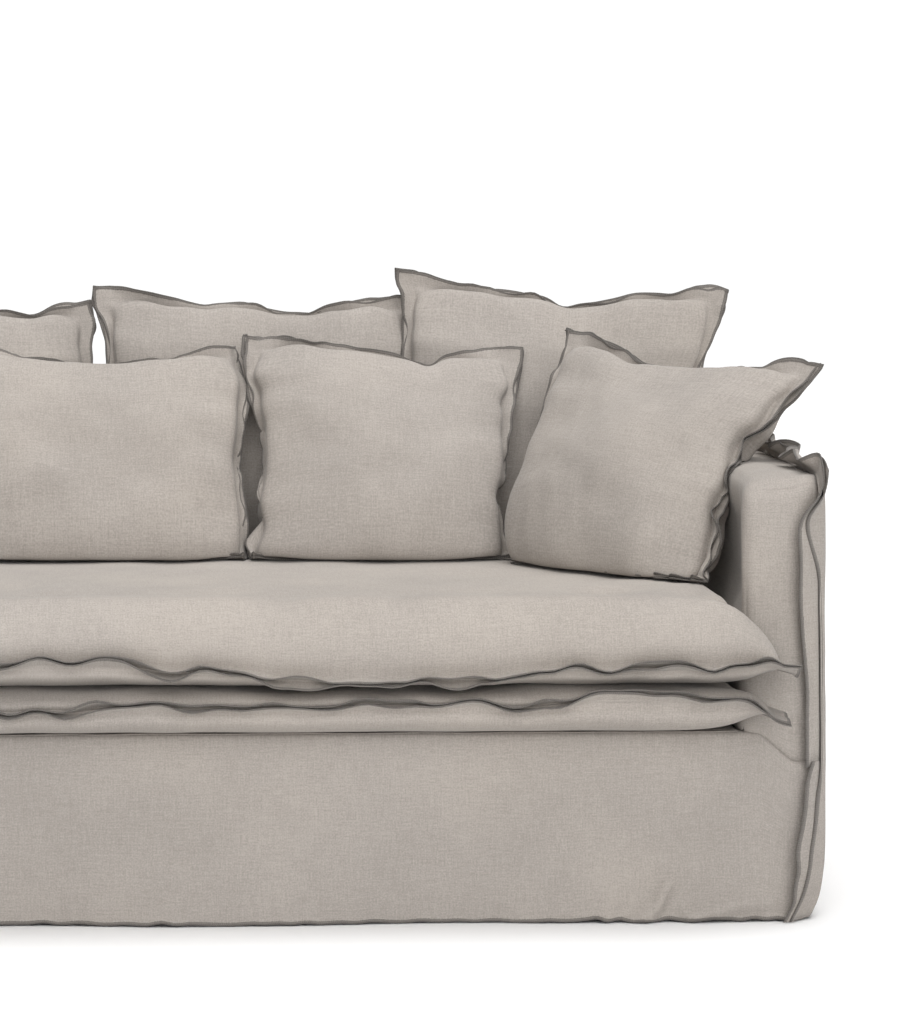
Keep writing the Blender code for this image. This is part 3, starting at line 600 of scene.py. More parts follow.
def mattress(name, under, seam_z, top, front, half_in, half_front, line, seed):
    flange = 0.026
    rings = np.array([0.0, 0.0020, 0.0058, 0.0082, 0.0170, flange])
    back = BACK_IN - 0.004
    half0 = half_in - flange
    th = np.linspace(0, math.pi / 2, 7)[1:]
    side = 0.05 * (1 - np.cos(th))
    nx = int(round(2 * (half0 - 0.05) / (0.0185 if name == "mattress_upper" else 0.0205)))
    xs = np.concatenate([rings - flange, side, np.linspace(0.05, 2 * half0 - 0.05, nx + 1)[1:-1],
                         2 * half0 - side[::-1], 2 * half0 + flange - rings[::-1]]) - half0
    th = np.linspace(0, math.pi / 2, 10)[1:]
    fr = 0.075 * (1 - np.cos(th))
    th = np.linspace(0, math.pi / 2, 5)[1:]
    bk = 0.05 * (1 - np.cos(th))
    depth = back - flange - front
    mid = np.concatenate([np.linspace(0.075, 0.28, 11)[1:], np.linspace(0.28, 0.60, 11)[1:], np.linspace(0.60, depth - 0.05, 5)[1:-1]])
    if name == "mattress_lower":
        mid = np.concatenate([np.linspace(0.075, 0.20, 6)[1:], np.linspace(0.20, depth - 0.05, 11)[1:-1]])
    ys = front + np.concatenate([rings - flange, fr, mid, depth - bk[::-1], depth + flange - rings[::-1]])
    idx, quads = weld_frame(xs, ys)
    U, Y = (g.reshape(-1) for g in np.meshgrid(xs, ys, indexing='ij'))
    n = len(U)
    d_side = np.clip(half0 - np.abs(U), 0, None)
    d_front = np.clip(Y - front, 0, None)
    d_back = np.clip(back - flange - Y, 0, None)
    e_side = np.clip(np.abs(U) - half0, 0, None)
    e_front = np.clip(front - Y, 0, None)
    e_back = np.clip(Y - (back - flange), 0, None)
    f = step(FRONT_Y - 0.006 - Y, 0.0, 0.030)
    half = half0 + (half_front - half_in) * f
    x = np.sign(U) * (half * np.minimum(np.abs(U) / half0, 1) + e_side)

    def q(d, r, e=2.2):
        return (1 - (1 - np.clip(d / r, 0, 1)) ** e) ** (1 / e)

    ear = step(FRONT_Y + 0.002 - Y, 0.0, 0.034)
    side_full = q(d_side, 0.012, 2.6) * (1 - ear) + q(d_side, 0.085, 1.6) * ear
    full = side_full * q(d_front, 0.075) * q(d_back, 0.05)
    line_z = whole_line(line, x, seed)
    mean = seam_z + 0.001
    wob = line_z - mean
    near_front = 1 - step(Y, front + 0.02, front + 0.14)
    zs = seam_z + 0.55 * np.clip(wob, -0.02, 0.02) * near_front
    zs = np.clip(zs, under + 0.012, top - 0.02)
    puff = 1 + 0.020 * field(np.stack([x, Y], 1), seed + 3, 0.22, 0.6, 8)
    dip = 0.0035 * field(np.stack([x, Y], 1), seed + 4, 0.10, 0.30, 10) * step(np.minimum(d_front, d_side), 0.0, 0.05)
    dip *= 1 - 0.75 * step(Y, -0.42, -0.18)
    z_top = zs + 0.0012 + (top - zs - 0.0012) * full * np.where(full < 1, 1.0, 1.0)
    z_top += (puff - 1) * 0.3 * (top - seam_z) * full
    z_top = np.minimum(z_top + dip * full, top + 0.001)
    z_low = zs - 0.0012 - (zs - 0.0012 - under) * full
    y = Y + 0.008 * (1 - np.clip(np.abs(U) / half0, 0, 1) ** 6) * np.clip((FRONT_Y - Y) / 0.08, 0, 1)
    # the front face swells forward past the seam
    height = np.clip((z_top - zs) / (top - zs), 0, 1)
    belly = 0.011 * np.sin(math.pi * np.clip(height, 0, 1) ** 0.8) * (1 - step(d_front, 0.05, 0.075)) * step(d_side, 0.0, 0.06)
    flank = 0.023 * (1 - ear) * (1 - step(d_side, 0.0, 0.10)) * np.sign(U)
    low_h = np.clip((zs - z_low) / (zs - under), 0, 1)
    front_s = np.stack([x + flank * (1 - np.abs(2 * height - 1) ** 6), y - belly, z_top], 1)
    belly2 = 0.006 * np.sin(math.pi * np.clip((zs - z_low) / (zs - under), 0, 1)) * (1 - step(d_front, 0.05, 0.075)) * step(d_side, 0.0, 0.06)
    back_s = np.stack([x + 0.8 * flank * (1 - np.abs(2 * low_h - 1) ** 5), y - belly2, z_low], 1)
    # flanges: the front one stands forward and follows the traced line
    dist = np.minimum(np.minimum(flange - e_side, flange - e_front), flange - e_back)
    inside = (e_side <= 0) & (e_front <= 0) & (e_back <= 0)
    e_all = np.where(inside, 0, flange - dist) / flange
    wave_f = field(np.stack([x, Y], 1), seed + 5, 0.03, 0.10, 16)
    wave_b = field(np.stack([x, Y], 1), seed + 6, 0.03, 0.10, 16)
    # at the front corners the two layers are caught together
    tip = step(np.abs(U), half0 - 0.050, half0 - 0.005) * step(front + 0.010 - Y, 0.0, 0.012)
    gap_big = np.maximum(0, field(x, seed + 7, 0.12, 0.35, 8)) * 0.0030 * (1 - tip)
    z_tip = np.where(e_front > 0, zs + (line_z - zs) * (e_front / flange) ** 0.8, zs - 0.004 * e_all)
    z_tip = z_tip + 0.0020 * e_all * field(np.stack([x, Y], 1), seed + 8, 0.05, 0.12, 10)
    # the side flange's points beside the arm, behind the front
    tuck = (e_side > 0) & (Y > FRONT_Y)
    for arr, sgn, wv in ((front_s, 1, wave_f), (back_s, -1, wave_b)):
        z = z_tip + sgn * (0.0013 + e_all * (0.0012 + gap_big + 0.0010 * wv))
        fl = ~inside
        arr[fl, 2] = z[fl]
        arr[fl, 1] = (y + 0.0 * x)[fl]
    both = np.concatenate([front_s, back_s])
    Q2 = np.concatenate([quads, quads + n])
    on_seam = (np.abs(dist - flange) < 1e-6) & inside & ((d_side < 1e-6) | (d_front < 1e-6) | (d_back < 1e-6))
    d_in = np.minimum(np.minimum(d_side, d_front), d_back)
    far_back = step(Y, -0.1, 0.1)
    ex = np.where(inside, 0.030 * np.exp(-(d_in / 0.022) ** 2) + 0.004, 0.008 + 0.035 * e_all) * (1 - 0.8 * far_back)
    ex += np.where(inside, 0.035 * np.exp(-((d_side ** 2 + d_front ** 2) / 0.10 ** 2)), 0)
    mob = np.where(on_seam, 0.0, 1.0)
    cap = np.where(inside, 0.0060, 0.0015 + 0.0055 * e_all * (1 - 0.5 * tip))
    sd = 0.0005 * field(both, seed + 9, 0.025, 0.06, 22) + 0.0007 * field(both, seed + 10, 0.06, 0.14, 14)
    nrm = point_normals(both, Q2)
    start = both + nrm * (sd * np.tile(mob, 2))[:, None]
    flq = np.nonzero(~inside)[0]
    in_front = (np.tile(Y, 2) < FRONT_Y + 0.002)

    def hold(X):
        F, B = X[:n], X[n:]
        g = F[flq, 2] - B[flq, 2]
        fixz = np.maximum(0, 0.0028 - g) * 0.5
        shut = np.maximum(0, g - 0.0032 - 0.03 * (1 - tip[flq])) * 0.5
        F[flq, 2] += fixz - shut
        B[flq, 2] -= fixz - shut
        B[:, 2] = np.maximum(B[:, 2], under)
        F[:, 2] = np.minimum(F[:, 2], top + 0.0015)
        X[:, 0] = np.where((X[:, 1] > FRONT_Y - 0.010), np.clip(X[:, 0], -half_in, half_in), X[:, 0])
        X[:, 1] = np.minimum(X[:, 1], back)

    both = relax(both, start, Q2, np.tile(ex, 2), np.tile(mob, 2), rounds=130, bend=0.035, tether=0.002,
                 cap=np.tile(cap, 2), hold=hold)
    front_s, back_s = both[:n], both[n:]
    band = np.where(dist < 0.0005, 0.00085, np.where(dist < 0.0065, 0.00115, 0.00060))
    along = np.where(e_side > np.maximum(e_front, e_back), Y + np.where(U < 0, 3.3, 6.1), x + np.where(Y < 0, 0, 9.7))
    # unrolled cloth coordinates over the rounded front
    arc = np.interp(Y, ys, np.concatenate([[0], np.cumsum(np.hypot(np.diff(ys), np.diff((top - seam_z) * q(np.clip(ys - front, 0, None), 0.075))))]))
    cloth = np.stack([x, arc], 1)
    ob = closed_pad(name + "_linen", idx, quads, front_s, back_s, band, band, ring_index(len(xs), 5), ring_index(len(ys), 5), 5,
                    cloth, dist, along, LINEN["mattress"])
    return ob


# ------------------------------------------------------- cover panels
def lattice(xs, ys, zs, sides):
    """Faces of a cut box as one surface: lattice coordinates, quads, face kinds."""
    axes = [np.asarray(v, float) for v in (xs, ys, zs)]
    size = [len(v) for v in axes]
    keys, quads, kinds = [], [], []
    for side in sides:
        ax = "xyz".index(side[1])
        fixed = 0 if side[0] == "-" else size[ax] - 1
        oth = [k for k in range(3) if k != ax]
        A, B = np.meshgrid(np.arange(size[oth[0]]), np.arange(size[oth[1]]), indexing='ij')
        key = np.zeros(A.shape + (3,), int)
        key[..., ax] = fixed
        key[..., oth[0]] = A
        key[..., oth[1]] = B
        flat = (key[..., 0] * 4096 + key[..., 1]) * 4096 + key[..., 2]
        q = np.stack([flat[:-1, :-1], flat[1:, :-1], flat[1:, 1:], flat[:-1, 1:]], -1).reshape(-1, 4)
        flip = {"-x": True, "+x": False, "-y": False, "+y": True, "-z": True, "+z": False}[side]
        quads.append(q[:, ::-1] if flip else q)
        kinds += [side] * len(q)
    q = np.concatenate(quads)
    names, inv = np.unique(q, return_inverse=True)
    q = inv.reshape(-1, 4)
    k = np.stack([names // 4096 // 4096, names // 4096 % 4096, names % 4096], 1)
    co = np.stack([axes[a][k[:, a]] for a in range(3)], 1)
    return co, q, np.array(kinds), k


FACE_UV = {"x": (1, 2), "y": (0, 2), "z": (0, 1)}


def face_uv(co, q, kinds):
    uv = np.zeros((len(q), 4, 2))
    for ax, (a, b) in FACE_UV.items():
        m = np.array([k[1] == ax for k in kinds])
        uv[m] = co[q[m]][..., [a, b]]
    return uv


def add_rows(P, Q, start, rows):
    """Adds flange rows along the ordered points start; each row is an array of
    places. Gives the new points, quads and the numbers of every row."""
    nums = [np.asarray(start)]
    for r in rows:
        nums.append(len(P) + np.arange(len(r)))
        P = np.concatenate([P, r])
    q = []
    for a, b in zip(nums[:-1], nums[1:]):
        q.append(np.stack([a[:-1], a[1:], b[1:], b[:-1]], 1))
    return P, np.concatenate([Q] + q), nums, sum(len(x) for x in q)


def fan(lo, hi, n):
    return np.linspace(lo, hi, n + 1)


def side_path(y, z, y0, z1, r):
    """The rounded front-top corner of the arm's side view, for arrays."""
    dy, dz = np.minimum(0.0, y - (y0 + r)), np.maximum(0.0, z - (z1 - r))
    n = np.hypot(dy, dz)
    m = np.maximum(-dy, dz)
    safe = np.maximum(n, 1e-9)
    f = np.where(n > 1e-9, m / safe, 1.0)
    return y - dy + dy * f, z - dz + dz * f, dy / safe, dz / safe, np.where(n > 1e-9, r - m, r)


# width of the inner panel's flange over the front of the arm, by height, and of
# the outer panel's, measured inward from the seam
FIN_UNDER = [(0.0, 0.050), (0.013, 0.046), (0.03, 0.037), (0.05, 0.0345), (0.075, 0.032), (0.096, 0.035), (0.13, 0.028), (0.15, 0.026),
             (0.17, 0.023), (0.191, 0.018), (0.213, 0.022), (0.255, 0.024), (0.311, 0.021), (0.367, 0.026), (0.423, 0.030), (0.451, 0.033),
             (0.516, 0.035), (0.554, 0.033), (0.57, 0.028), (0.60, 0.028)]
FIN_TOP = [(0.0, 0.042), (0.013, 0.038), (0.03, 0.030), (0.05, 0.0265), (0.07, 0.020), (0.096, 0.020), (0.13, 0.014), (0.184, 0.009),
           (0.212, 0.003), (0.311, 0.002), (0.423, 0.003), (0.478, 0.005), (0.506, 0.014), (0.535, 0.021), (0.565, 0.026), (0.60, 0.026)]
FIN_RISE = [(-0.5, 0.008), (-0.44, 0.014), (-0.371, 0.022), (-0.282, 0.020), (-0.263, 0.030), (-0.114, 0.0245), (0.013, 0.027), (0.3, 0.027), (0.5, 0.026)]
# how far the flange stands up (degrees), by place along the seam
FIN_TURN = [(0.0, 12), (0.03, 24), (0.08, 31), (0.50, 31), (0.555, 26), (0.57, 30), (0.585, 50), (0.597, 80), (0.612, 94), (0.63, 94), (0.65, 85), (0.67, 78)]
STEPS = (0.0082, 0.0058, 0.0020, 0.0)


def fin_rows(y, z, ny, nz, side_seed, outer):
    """Rows of a flange layer along the arm's outer seam, from its fold to its
    free edge. The points are the seam's; ny, nz point away from the arm."""
    y, z = np.asarray(y), np.asarray(z)
    p = z + (y - FRONT_Y)                     # place along the seam
    top = step(nz, 0.2, 0.98) * (1 - step(-ny, 0.5, 1.0))
    rear = np.asarray(ny > 0.5, float)
    front = 1 - np.maximum(top, rear)
    w_front = curve(FIN_TOP if outer else FIN_UNDER, z, 0.004) * (1 + 0.14 * step(z, 0.0, 0.08))
    w_top = 0.031 + 0.003 * field(p, side_seed + 1, 0.06, 0.16, 8)
    w_rear = 0.030 + 0.002 * field(p, side_seed + 2, 0.06, 0.16, 8)
    width = w_front * front + w_top * top + w_rear * rear
    rise = curve(FIN_RISE, y, 0.01) / 0.031
    wob = field(p, side_seed + 3, 0.07, 0.20, 10)
    ang_top = np.arcsin(np.clip(rise, 0, 0.98)) * (1.0 + 0.20 * wob)
    ang_front = curve(FIN_TURN, p, 0.006) * math.pi / 180 + 0.04 * wob
    on_lid = step(p, 0.645, 0.675) * (1 - rear)
    ang = ang_top * on_lid + ang_front * (1 - on_lid) * (1 - rear) + 0.05 * rear
    gap = 0.0058
    rows, dist = [], []

    def place(inward, e, lift):
        ca, sa = np.cos(ang), np.sin(ang)
        x = HALF_W - SEAM_IN - inward - ca * e + sa * lift
        nl = sa * e + ca * lift
        return np.stack([x, y + ny * nl, z + nz * nl], 1)

    wide = np.maximum(width, 0.010)
    mids = np.linspace(0, 1, 4)[1:-1]
    if outer:
        o1 = np.stack([np.full_like(y, HALF_W - 0.0010), y + ny * 0.0085, z + nz * 0.0085], 1)
        o2 = np.stack([np.full_like(y, HALF_W - 0.0050), y + ny * 0.0122, z + nz * 0.0122], 1)
        rows += [o1, o2]
        dist += [wide + 0.01, wide + 0.006]
        lift, begin = 0.0055 + gap, 0.002
    else:
        o1 = np.stack([np.full_like(y, HALF_W - SEAM_IN + 0.0026), y + ny * 0.0022, z + nz * 0.0022], 1)
        rows += [o1]
        dist += [wide + 0.004]
        lift, begin = 0.0055, 0.0
    inner = np.maximum(width - STEPS[0], 0.0006)
    for m in mids:
        rows.append(place(0.0, begin + (inner - begin) * m, lift + 0.0 * y))
        dist.append(width - inner * m)
    for s in STEPS:
        rows.append(place(0.0, np.maximum(width - s, begin + 0.0004 * (5 - 300 * s)), lift + 0.0 * y))
        dist.append(np.full_like(y, s))
    return rows, dist, p


def flare(z):
    """How far the front hangs out towards its hem."""
    return 0.013 * np.clip(1 - np.asarray(z) / DECK_Z, 0, 1) ** 1.5


def hem_wave(P, axis, sign, seed, amount=0.011, calm=None):
    """Soft vertical folds that open towards the hem."""
    z = P[:, 2]
    d = np.clip(1 - z / DECK_Z, 0, 1)
    along = P[:, 1 - axis] if axis in (0, 1) else P[:, 0]
    w = field(along + 0.15 * z, seed, 0.16, 0.50, 7) * 0.75
    k = np.ones(len(P)) if calm is None else calm
    P[:, axis] += sign * d ** 1.3 * k * amount * w


EDGE_TUCK = [(0.0, 0.022), (0.004, 0.0195), (0.010, 0.0150), (0.024, 0.0085), (0.045, 0.0032), (0.080, 0.0)]


def roll_back(X):
    """The outer edge of the front rolls back round the arm's padding. In place."""
    ax = np.abs(X[:, 0])
    front = 1 - step(X[:, 1], -0.505, -0.395)
    t = np.clip((ax - 0.962) / 0.058, 0, 1.15)
    full = np.exp(-((X[:, 1] + 0.455) / 0.050) ** 2) * step(ax, 0.995, 1.014) * step(X[:, 2], 0.03, 0.12)
    X[:, 0] += np.sign(X[:, 0]) * 0.0065 * full * (1 - step(X[:, 2], ARM_H - 0.05, ARM_H))
    X[:, 1] += 0.034 * t * t * front
    edge = step(ax, 0.955, 1.004) * (1 - step(X[:, 1], -0.34, 0.05))
    X[:, 0] += np.sign(X[:, 0]) * edge * 0.0050 * (1 - step(X[:, 2], 0.10, 0.50))
    X[:, 0] -= np.sign(X[:, 0]) * edge * curve(EDGE_TUCK, X[:, 2])


def panel(name, P, Q, uv, dist, along, excess, mob, cap, seed, material, mirror=False,
          rounds=120, bend=0.035, thickness=0.0018, hold=None, level=1, push=0.0006):
    nrm = point_normals(P, Q)
    sd = push * field(P, seed + 90, 0.025, 0.06, 22) + 1.4 * push * field(P, seed + 91, 0.06, 0.16, 14)
    X = relax(P, P + nrm * (sd * mob)[:, None], Q, excess, mob, rounds=rounds, bend=bend, tether=0.002, cap=cap, hold=hold)
    if name.startswith(("arm", "skirt")):
        roll_back(X)
    w = np.where(dist < 0.0005, 0.80, np.where(dist < 0.0065, 1.0, 0.62))
    if mirror:
        X = X * [-1, 1, 1]
        Q = Q[:, ::-1]
        uv = uv[:, ::-1]
    ed = np.stack([along, dist], 1)[Q]
    ob = build(name, X, Q, uv, ed, material, thickness=thickness, weights=w, level=level)
    return ob


def arm_inner(side):
    seed = 200 if side > 0 else 240
    x0, x1 = ARM_IN, HALF_W - SEAM_IN
    y0, y1, r = FRONT_Y, BACK_Y - 0.005, CORNER_R
    z0, z1, low = DECK_Z + 0.001, ARM_H, DECK_Z - 0.040
    xs = np.concatenate([x0 + INNER_R * np.array([0, 0.18, 0.42, 0.7, 1.0]), fan(x0 + INNER_R, x1, 8)[1:]])
    ys = np.concatenate([y0 + r * np.array([0, 0.12, 0.3, 0.5, 0.75, 1.0]), fan(y0 + r, 0.10, 32)[1:], fan(0.10, y1, 12)[1:]])
    zs = np.concatenate([[low], fan(z0, z0 + 0.02, 2), fan(z0 + 0.02, z1 - r, 22)[1:], z1 - r * np.array([0.75, 0.5, 0.3, 0.12, 0])])
    co, Q, kinds, key = lattice(xs, ys, zs, ["-y", "+z", "-x"])
    keep = ~((kinds == "-x") & (co[Q][:, :, 2].mean(1) < z0))
    Q, kinds = Q[keep], kinds[keep]
    uv = face_uv(co, Q, kinds)
    x, y, z = co.T.copy()
    foot_row = (z < z0 + 0.019) & (y < y0 + 1e-6)
    foot = z0 + (low - z0) * np.clip((x - x0 - 0.028) / 0.045, 0, 1) - 0.007
    z = np.where(foot_row, foot + (z0 + 0.02 - foot) * (z - low) / (z0 + 0.02 - low), z)
    y, z, ny, nz, depth = side_path(y, z, y0, z1, r)
    flat = (ny == 0) & (nz == 0)
    fr = flat & (co[:, 1] < y0 + INNER_R)
    ny, depth = np.where(fr, -1.0, ny), np.where(fr, co[:, 1] - y0, depth)
    tp = flat & (co[:, 2] > z1 - INNER_R)
    ny, nz, depth = np.where(tp, 0.0, ny), np.where(tp, 1.0, nz), np.where(tp, z1 - co[:, 2], depth)
    rnd = ((ny != 0) | (nz != 0)) & (x < x0 + INNER_R) & (depth < INNER_R)
    a, b = x0 + INNER_R - x, INNER_R - depth
    k = np.maximum(a, b) / np.maximum(np.hypot(a, b), 1e-9)
    # square where it meets the back
    open_arm = 1 - step(co[:, 1], 0.300, 0.350)
    k = 1 + (k - 1) * open_arm
    x = np.where(rnd, x0 + INNER_R - a * k, x)
    y = np.where(rnd, y + ny * (b * k - b), y)
    z = np.where(rnd, z + nz * (b * k - b), z)
    dent = arm_dent(y, z)
    near = np.clip((x0 + 0.07 - x) / 0.07, 0, 1)
    x, z = x + dent * near, z - 0.25 * dent * near
    P = np.stack([x, y, z], 1)
    # the padding under the cloth swells the front and the top a little
    crown = np.sin(math.pi * np.clip((co[:, 0] - x0) / (x1 - x0), 0, 1))
    P[:, 1] -= 0.0035 * crown * (kinds_at(co, "y", y0)) * step(P[:, 2], z0, z0 + 0.06)
    P[:, 1] += np.where(foot_row, 0.0030 * (1 - step(P[:, 2] - foot, 0.002, 0.018)), 0)
    P[:, 2] += 0.0035 * crown * (co[:, 2] > z1 - 1e-6)
    free = step(x1 - P[:, 0], 0.004, 0.05)
    a_, b_ = np.clip(P[:, 1] - y0, 0, None), np.clip(z1 - P[:, 2], 0, None)
    soft = 0.0105 * np.exp(-((a_ + b_) / 0.050) ** 2) * free
    P[:, 1] += soft * 0.75
    P[:, 2] -= soft * 0.75
    a_ = np.clip(P[:, 0] - x0, 0, None)
    soft = 0.0060 * np.exp(-((a_ + b_) / 0.038) ** 2) * open_arm
    P[:, 0] += soft * 0.7
    P[:, 2] -= soft * 0.7
    # seam line points in order: up the front, then back along the top
    on = np.nonzero(key[:, 0] == key[:, 0].max())[0]
    order = on[np.lexsort((co[on, 2] * 0, co[on, 2] + (co[on, 1] - y0)))]
    sy, sz = P[order, 1], P[order, 2]
    dy, dz = np.minimum(0.0, sy - (y0 + r)), np.maximum(0.0, sz - (z1 - r))
    nn = np.maximum(np.hypot(dy, dz), 1e-9)
    sny, snz = dy / nn, dz / nn
    rows, dist_rows, p = fin_rows(sy, sz, sny, snz, seed + 5, outer=False)
    base_n = len(P)
    P, Q2, nums, nq = add_rows(P, Q, order, rows)
    uv_rows = []
    dist = np.full(len(P), 0.12)
    along = np.zeros(len(P))
    fabric_v = np.zeros((len(P), 2))
    for num, d in zip(nums[1:], dist_rows):
        dist[num] = d
        along[num] = p
        fabric_v[num] = np.stack([p, d], 1)
    dist[order] = dist_rows[0] + 0.006
    along[order] = p
    fabric_v[order] = np.stack([p, dist[order]], 1)
    uv = np.concatenate([uv, fabric_v[Q2[len(Q):]]])
    fin = np.arange(len(P)) >= base_n
    ex = np.where(fin, 0.012, 0.004)
    w_free = np.clip(1 - dist / 0.03, 0, 1) * fin
    on_top = step(P[:, 2], ARM_H - 0.03, ARM_H)
    ex = ex + w_free * (0.025 + 0.040 * on_top)
    # slack cloth near the outer seam on top of the arm
    seam_d = np.where(fin, 1.0, x1 - P[:, 0])
    ex += np.where(~fin, 0.022 * np.exp(-(seam_d / 0.025) ** 2), 0)
    corner_d = np.linalg.norm(P - np.array([x1, y0, z1]), axis=1)
    ex += np.where(~fin, 0.060 * np.exp(-(corner_d / 0.045) ** 2), 0)
    mob = np.ones(len(P))
    mob[order] = 0.0
    mob[nums[1]] = 0.0
    inner_face = (P[:, 0] < x0 + 0.004) & ~fin
    mob = np.where(inner_face, 0.5, mob)
    mob = np.where(~fin & (P[:, 2] < z0 + 0.004), 0.0, mob)
    cap = np.where(fin, 0.0012 + w_free * (0.0020 + 0.0055 * on_top), 0.0035)
    front_fin = fin & (P[:, 1] < y0 + 0.001)
    y_lim = y0 - 0.0038

    def hold(X):
        X[front_fin, 1] = np.minimum(X[front_fin, 1], y_lim)
        body = ~fin
        X[body, 1] = np.maximum(X[body, 1], y0 - 0.0036)

    name = "arm_inner_R" if side > 0 else "arm_inner_L"
    return panel(name + "_linen", P, Q2, uv, dist, along, ex, mob, cap, seed, LINEN["cover"],
                 mirror=side < 0, hold=hold), name


def kinds_at(co, axis, value):
    a = "xyz".index(axis)
    return (np.abs(co[:, a] - value) < 1e-6).astype(float)


def arm_outer(side):
    seed = 300 if side > 0 else 340
    y0, y1, z1, r = FRONT_Y + 0.004, BACK_Y - 0.004, ARM_H - 0.004, CORNER_R
    ys = np.concatenate([y0 + r * np.array([0, 0.12, 0.3, 0.5, 0.75, 1.0]), fan(y0 + r, 0.0, 26)[1:], fan(0.0, y1 - 0.03, 18)[1:], [y1 - 0.015, y1]])
    zs = np.concatenate([fan(0.003, z1 - r, 30), z1 - r * np.array([0.75, 0.5, 0.3, 0.12, 0])])
    co, Q, kinds, key = lattice([HALF_W - 0.01, HALF_W], ys, zs, ["+x"])
    uv = face_uv(co, Q, kinds)
    y, z, ny, nz, _ = side_path(co[:, 1], co[:, 2], y0, z1, r)
    on_front = co[:, 1] < y0 + 1e-6
    on_top = co[:, 2] > z1 - 1e-6
    on_back = co[:, 1] > y1 - 1e-6
    nyy = np.where(on_back, 1.0, np.where(on_top & (ny == 0) & (nz == 0), 0.0, np.where(on_front & (ny == 0) & (nz == 0), -1.0, ny)))
    nzz = np.where(on_back, np.where(on_top, 1.0, 0.0), np.where(on_top & (ny == 0) & (nz == 0), 1.0, nz))
    P = np.stack([np.full(len(y), HALF_W), y, z], 1)
    edge = on_front | on_top | on_back
    # soft swell of the side, drawn in towards the hem
    inner = np.minimum(np.minimum(co[:, 1] - y0, y1 - co[:, 1]), (z1 - co[:, 2]))
    P[:, 0] += 0.0060 * step(inner, 0.0, 0.10) * step(co[:, 2], 0.02, 0.22)
    hem_wave(P, 0, 1, seed + 1, 0.0060, step(np.minimum(co[:, 1] - y0, y1 - co[:, 1]), 0.0, 0.10))
    P[:, 1] -= flare(co[:, 2]) * (1 - step(co[:, 1] - y0, 0.0, 0.12))
    P[:, 2] += np.where(co[:, 2] < 0.0035, 0.0005 + 0.0012 * field(co[:, 1], seed + 2, 0.1, 0.3, 7), 0)
    on = np.nonzero(edge)[0]
    path = np.where(on_back[on], (z1 - y0) + (y1 - y0) + (z1 - co[on, 2]), co[on, 2] + (co[on, 1] - y0))
    order = on[np.argsort(path, kind="stable")]
    rows, dist_rows, _ = fin_rows(P[order, 1], P[order, 2], nyy[order], nzz[order], seed + 5, outer=True)
    p = np.sort(path, kind="stable")
    low = 1 - step(P[order, 2], 0.0, 0.05)
    for row in rows:
        row[:, 0] -= 0.0
    base_n = len(P)
    P, Q2, nums, nq = add_rows(P, Q, order, rows)
    dist = np.full(len(P), 0.12)
    along = np.zeros(len(P))
    fabric = np.zeros((len(P), 2))
    for num, d in zip(nums[1:], dist_rows):
        dist[num] = d
        along[num] = p
        fabric[num] = np.stack([p, d], 1)
    dist[order] = dist_rows[0] + 0.01
    along[order] = p
    fabric[order] = np.stack([p, dist[order]], 1)
    uv = np.concatenate([uv, fabric[Q2[len(Q):]]])
    fin = np.arange(len(P)) >= base_n
    hem = ~fin & (np.concatenate([co[:, 2], np.ones(len(P) - base_n)]) < 0.0035)
    w_free = np.clip(1 - dist / 0.03, 0, 1) * fin
    topz = step(P[:, 2], ARM_H - 0.03, ARM_H)
    ex = np.where(fin, 0.010, 0.0045) + w_free * (0.018 + 0.040 * topz)
    edge_d = np.concatenate([inner, np.full(len(P) - base_n, 1.0)])
    ex += np.where(~fin, 0.022 * np.exp(-(edge_d / 0.025) ** 2), 0)
    mob = np.ones(len(P))
    mob[order] = 0.0
    mob[nums[1]] = 0.0
    mob[nums[2]] = 0.0
    cap = np.where(fin, 0.0010 + w_free * (0.0015 + 0.0052 * topz), 0.0045)
    front_fin = fin & (P[:, 1] < FRONT_Y + 0.001)
    back_fin = fin & (P[:, 1] > BACK_Y - 0.001)

    def hold(X):
        X[front_fin, 1] = np.minimum(X[front_fin, 1], FRONT_Y - 0.0092 - flare(X[front_fin, 2]))
        X[back_fin, 1] = np.maximum(X[back_fin, 1], BACK_Y + 0.0092)

    name = "arm_outer_R" if side > 0 else "arm_outer_L"
    return panel(name + "_linen", P, Q2, uv, dist, along, ex, mob, cap, seed, LINEN["cover_side_shaded"],
                 mirror=side < 0, hold=hold), name


HEM = [(-1.02, 0.003), (-0.9, 0.005), (-0.8, 0.003), (-0.4, 0.003), (-0.13, 0.0035), (0.0, 0.0030), (0.14, 0.0025), (0.4, 0.0022),
       (0.63, 0.0020), (0.70, 0.0055), (0.735, 0.0030), (0.77, 0.0022), (0.82, 0.0045), (0.906, 0.0050), (0.963, 0.0028), (1.02, 0.003)]


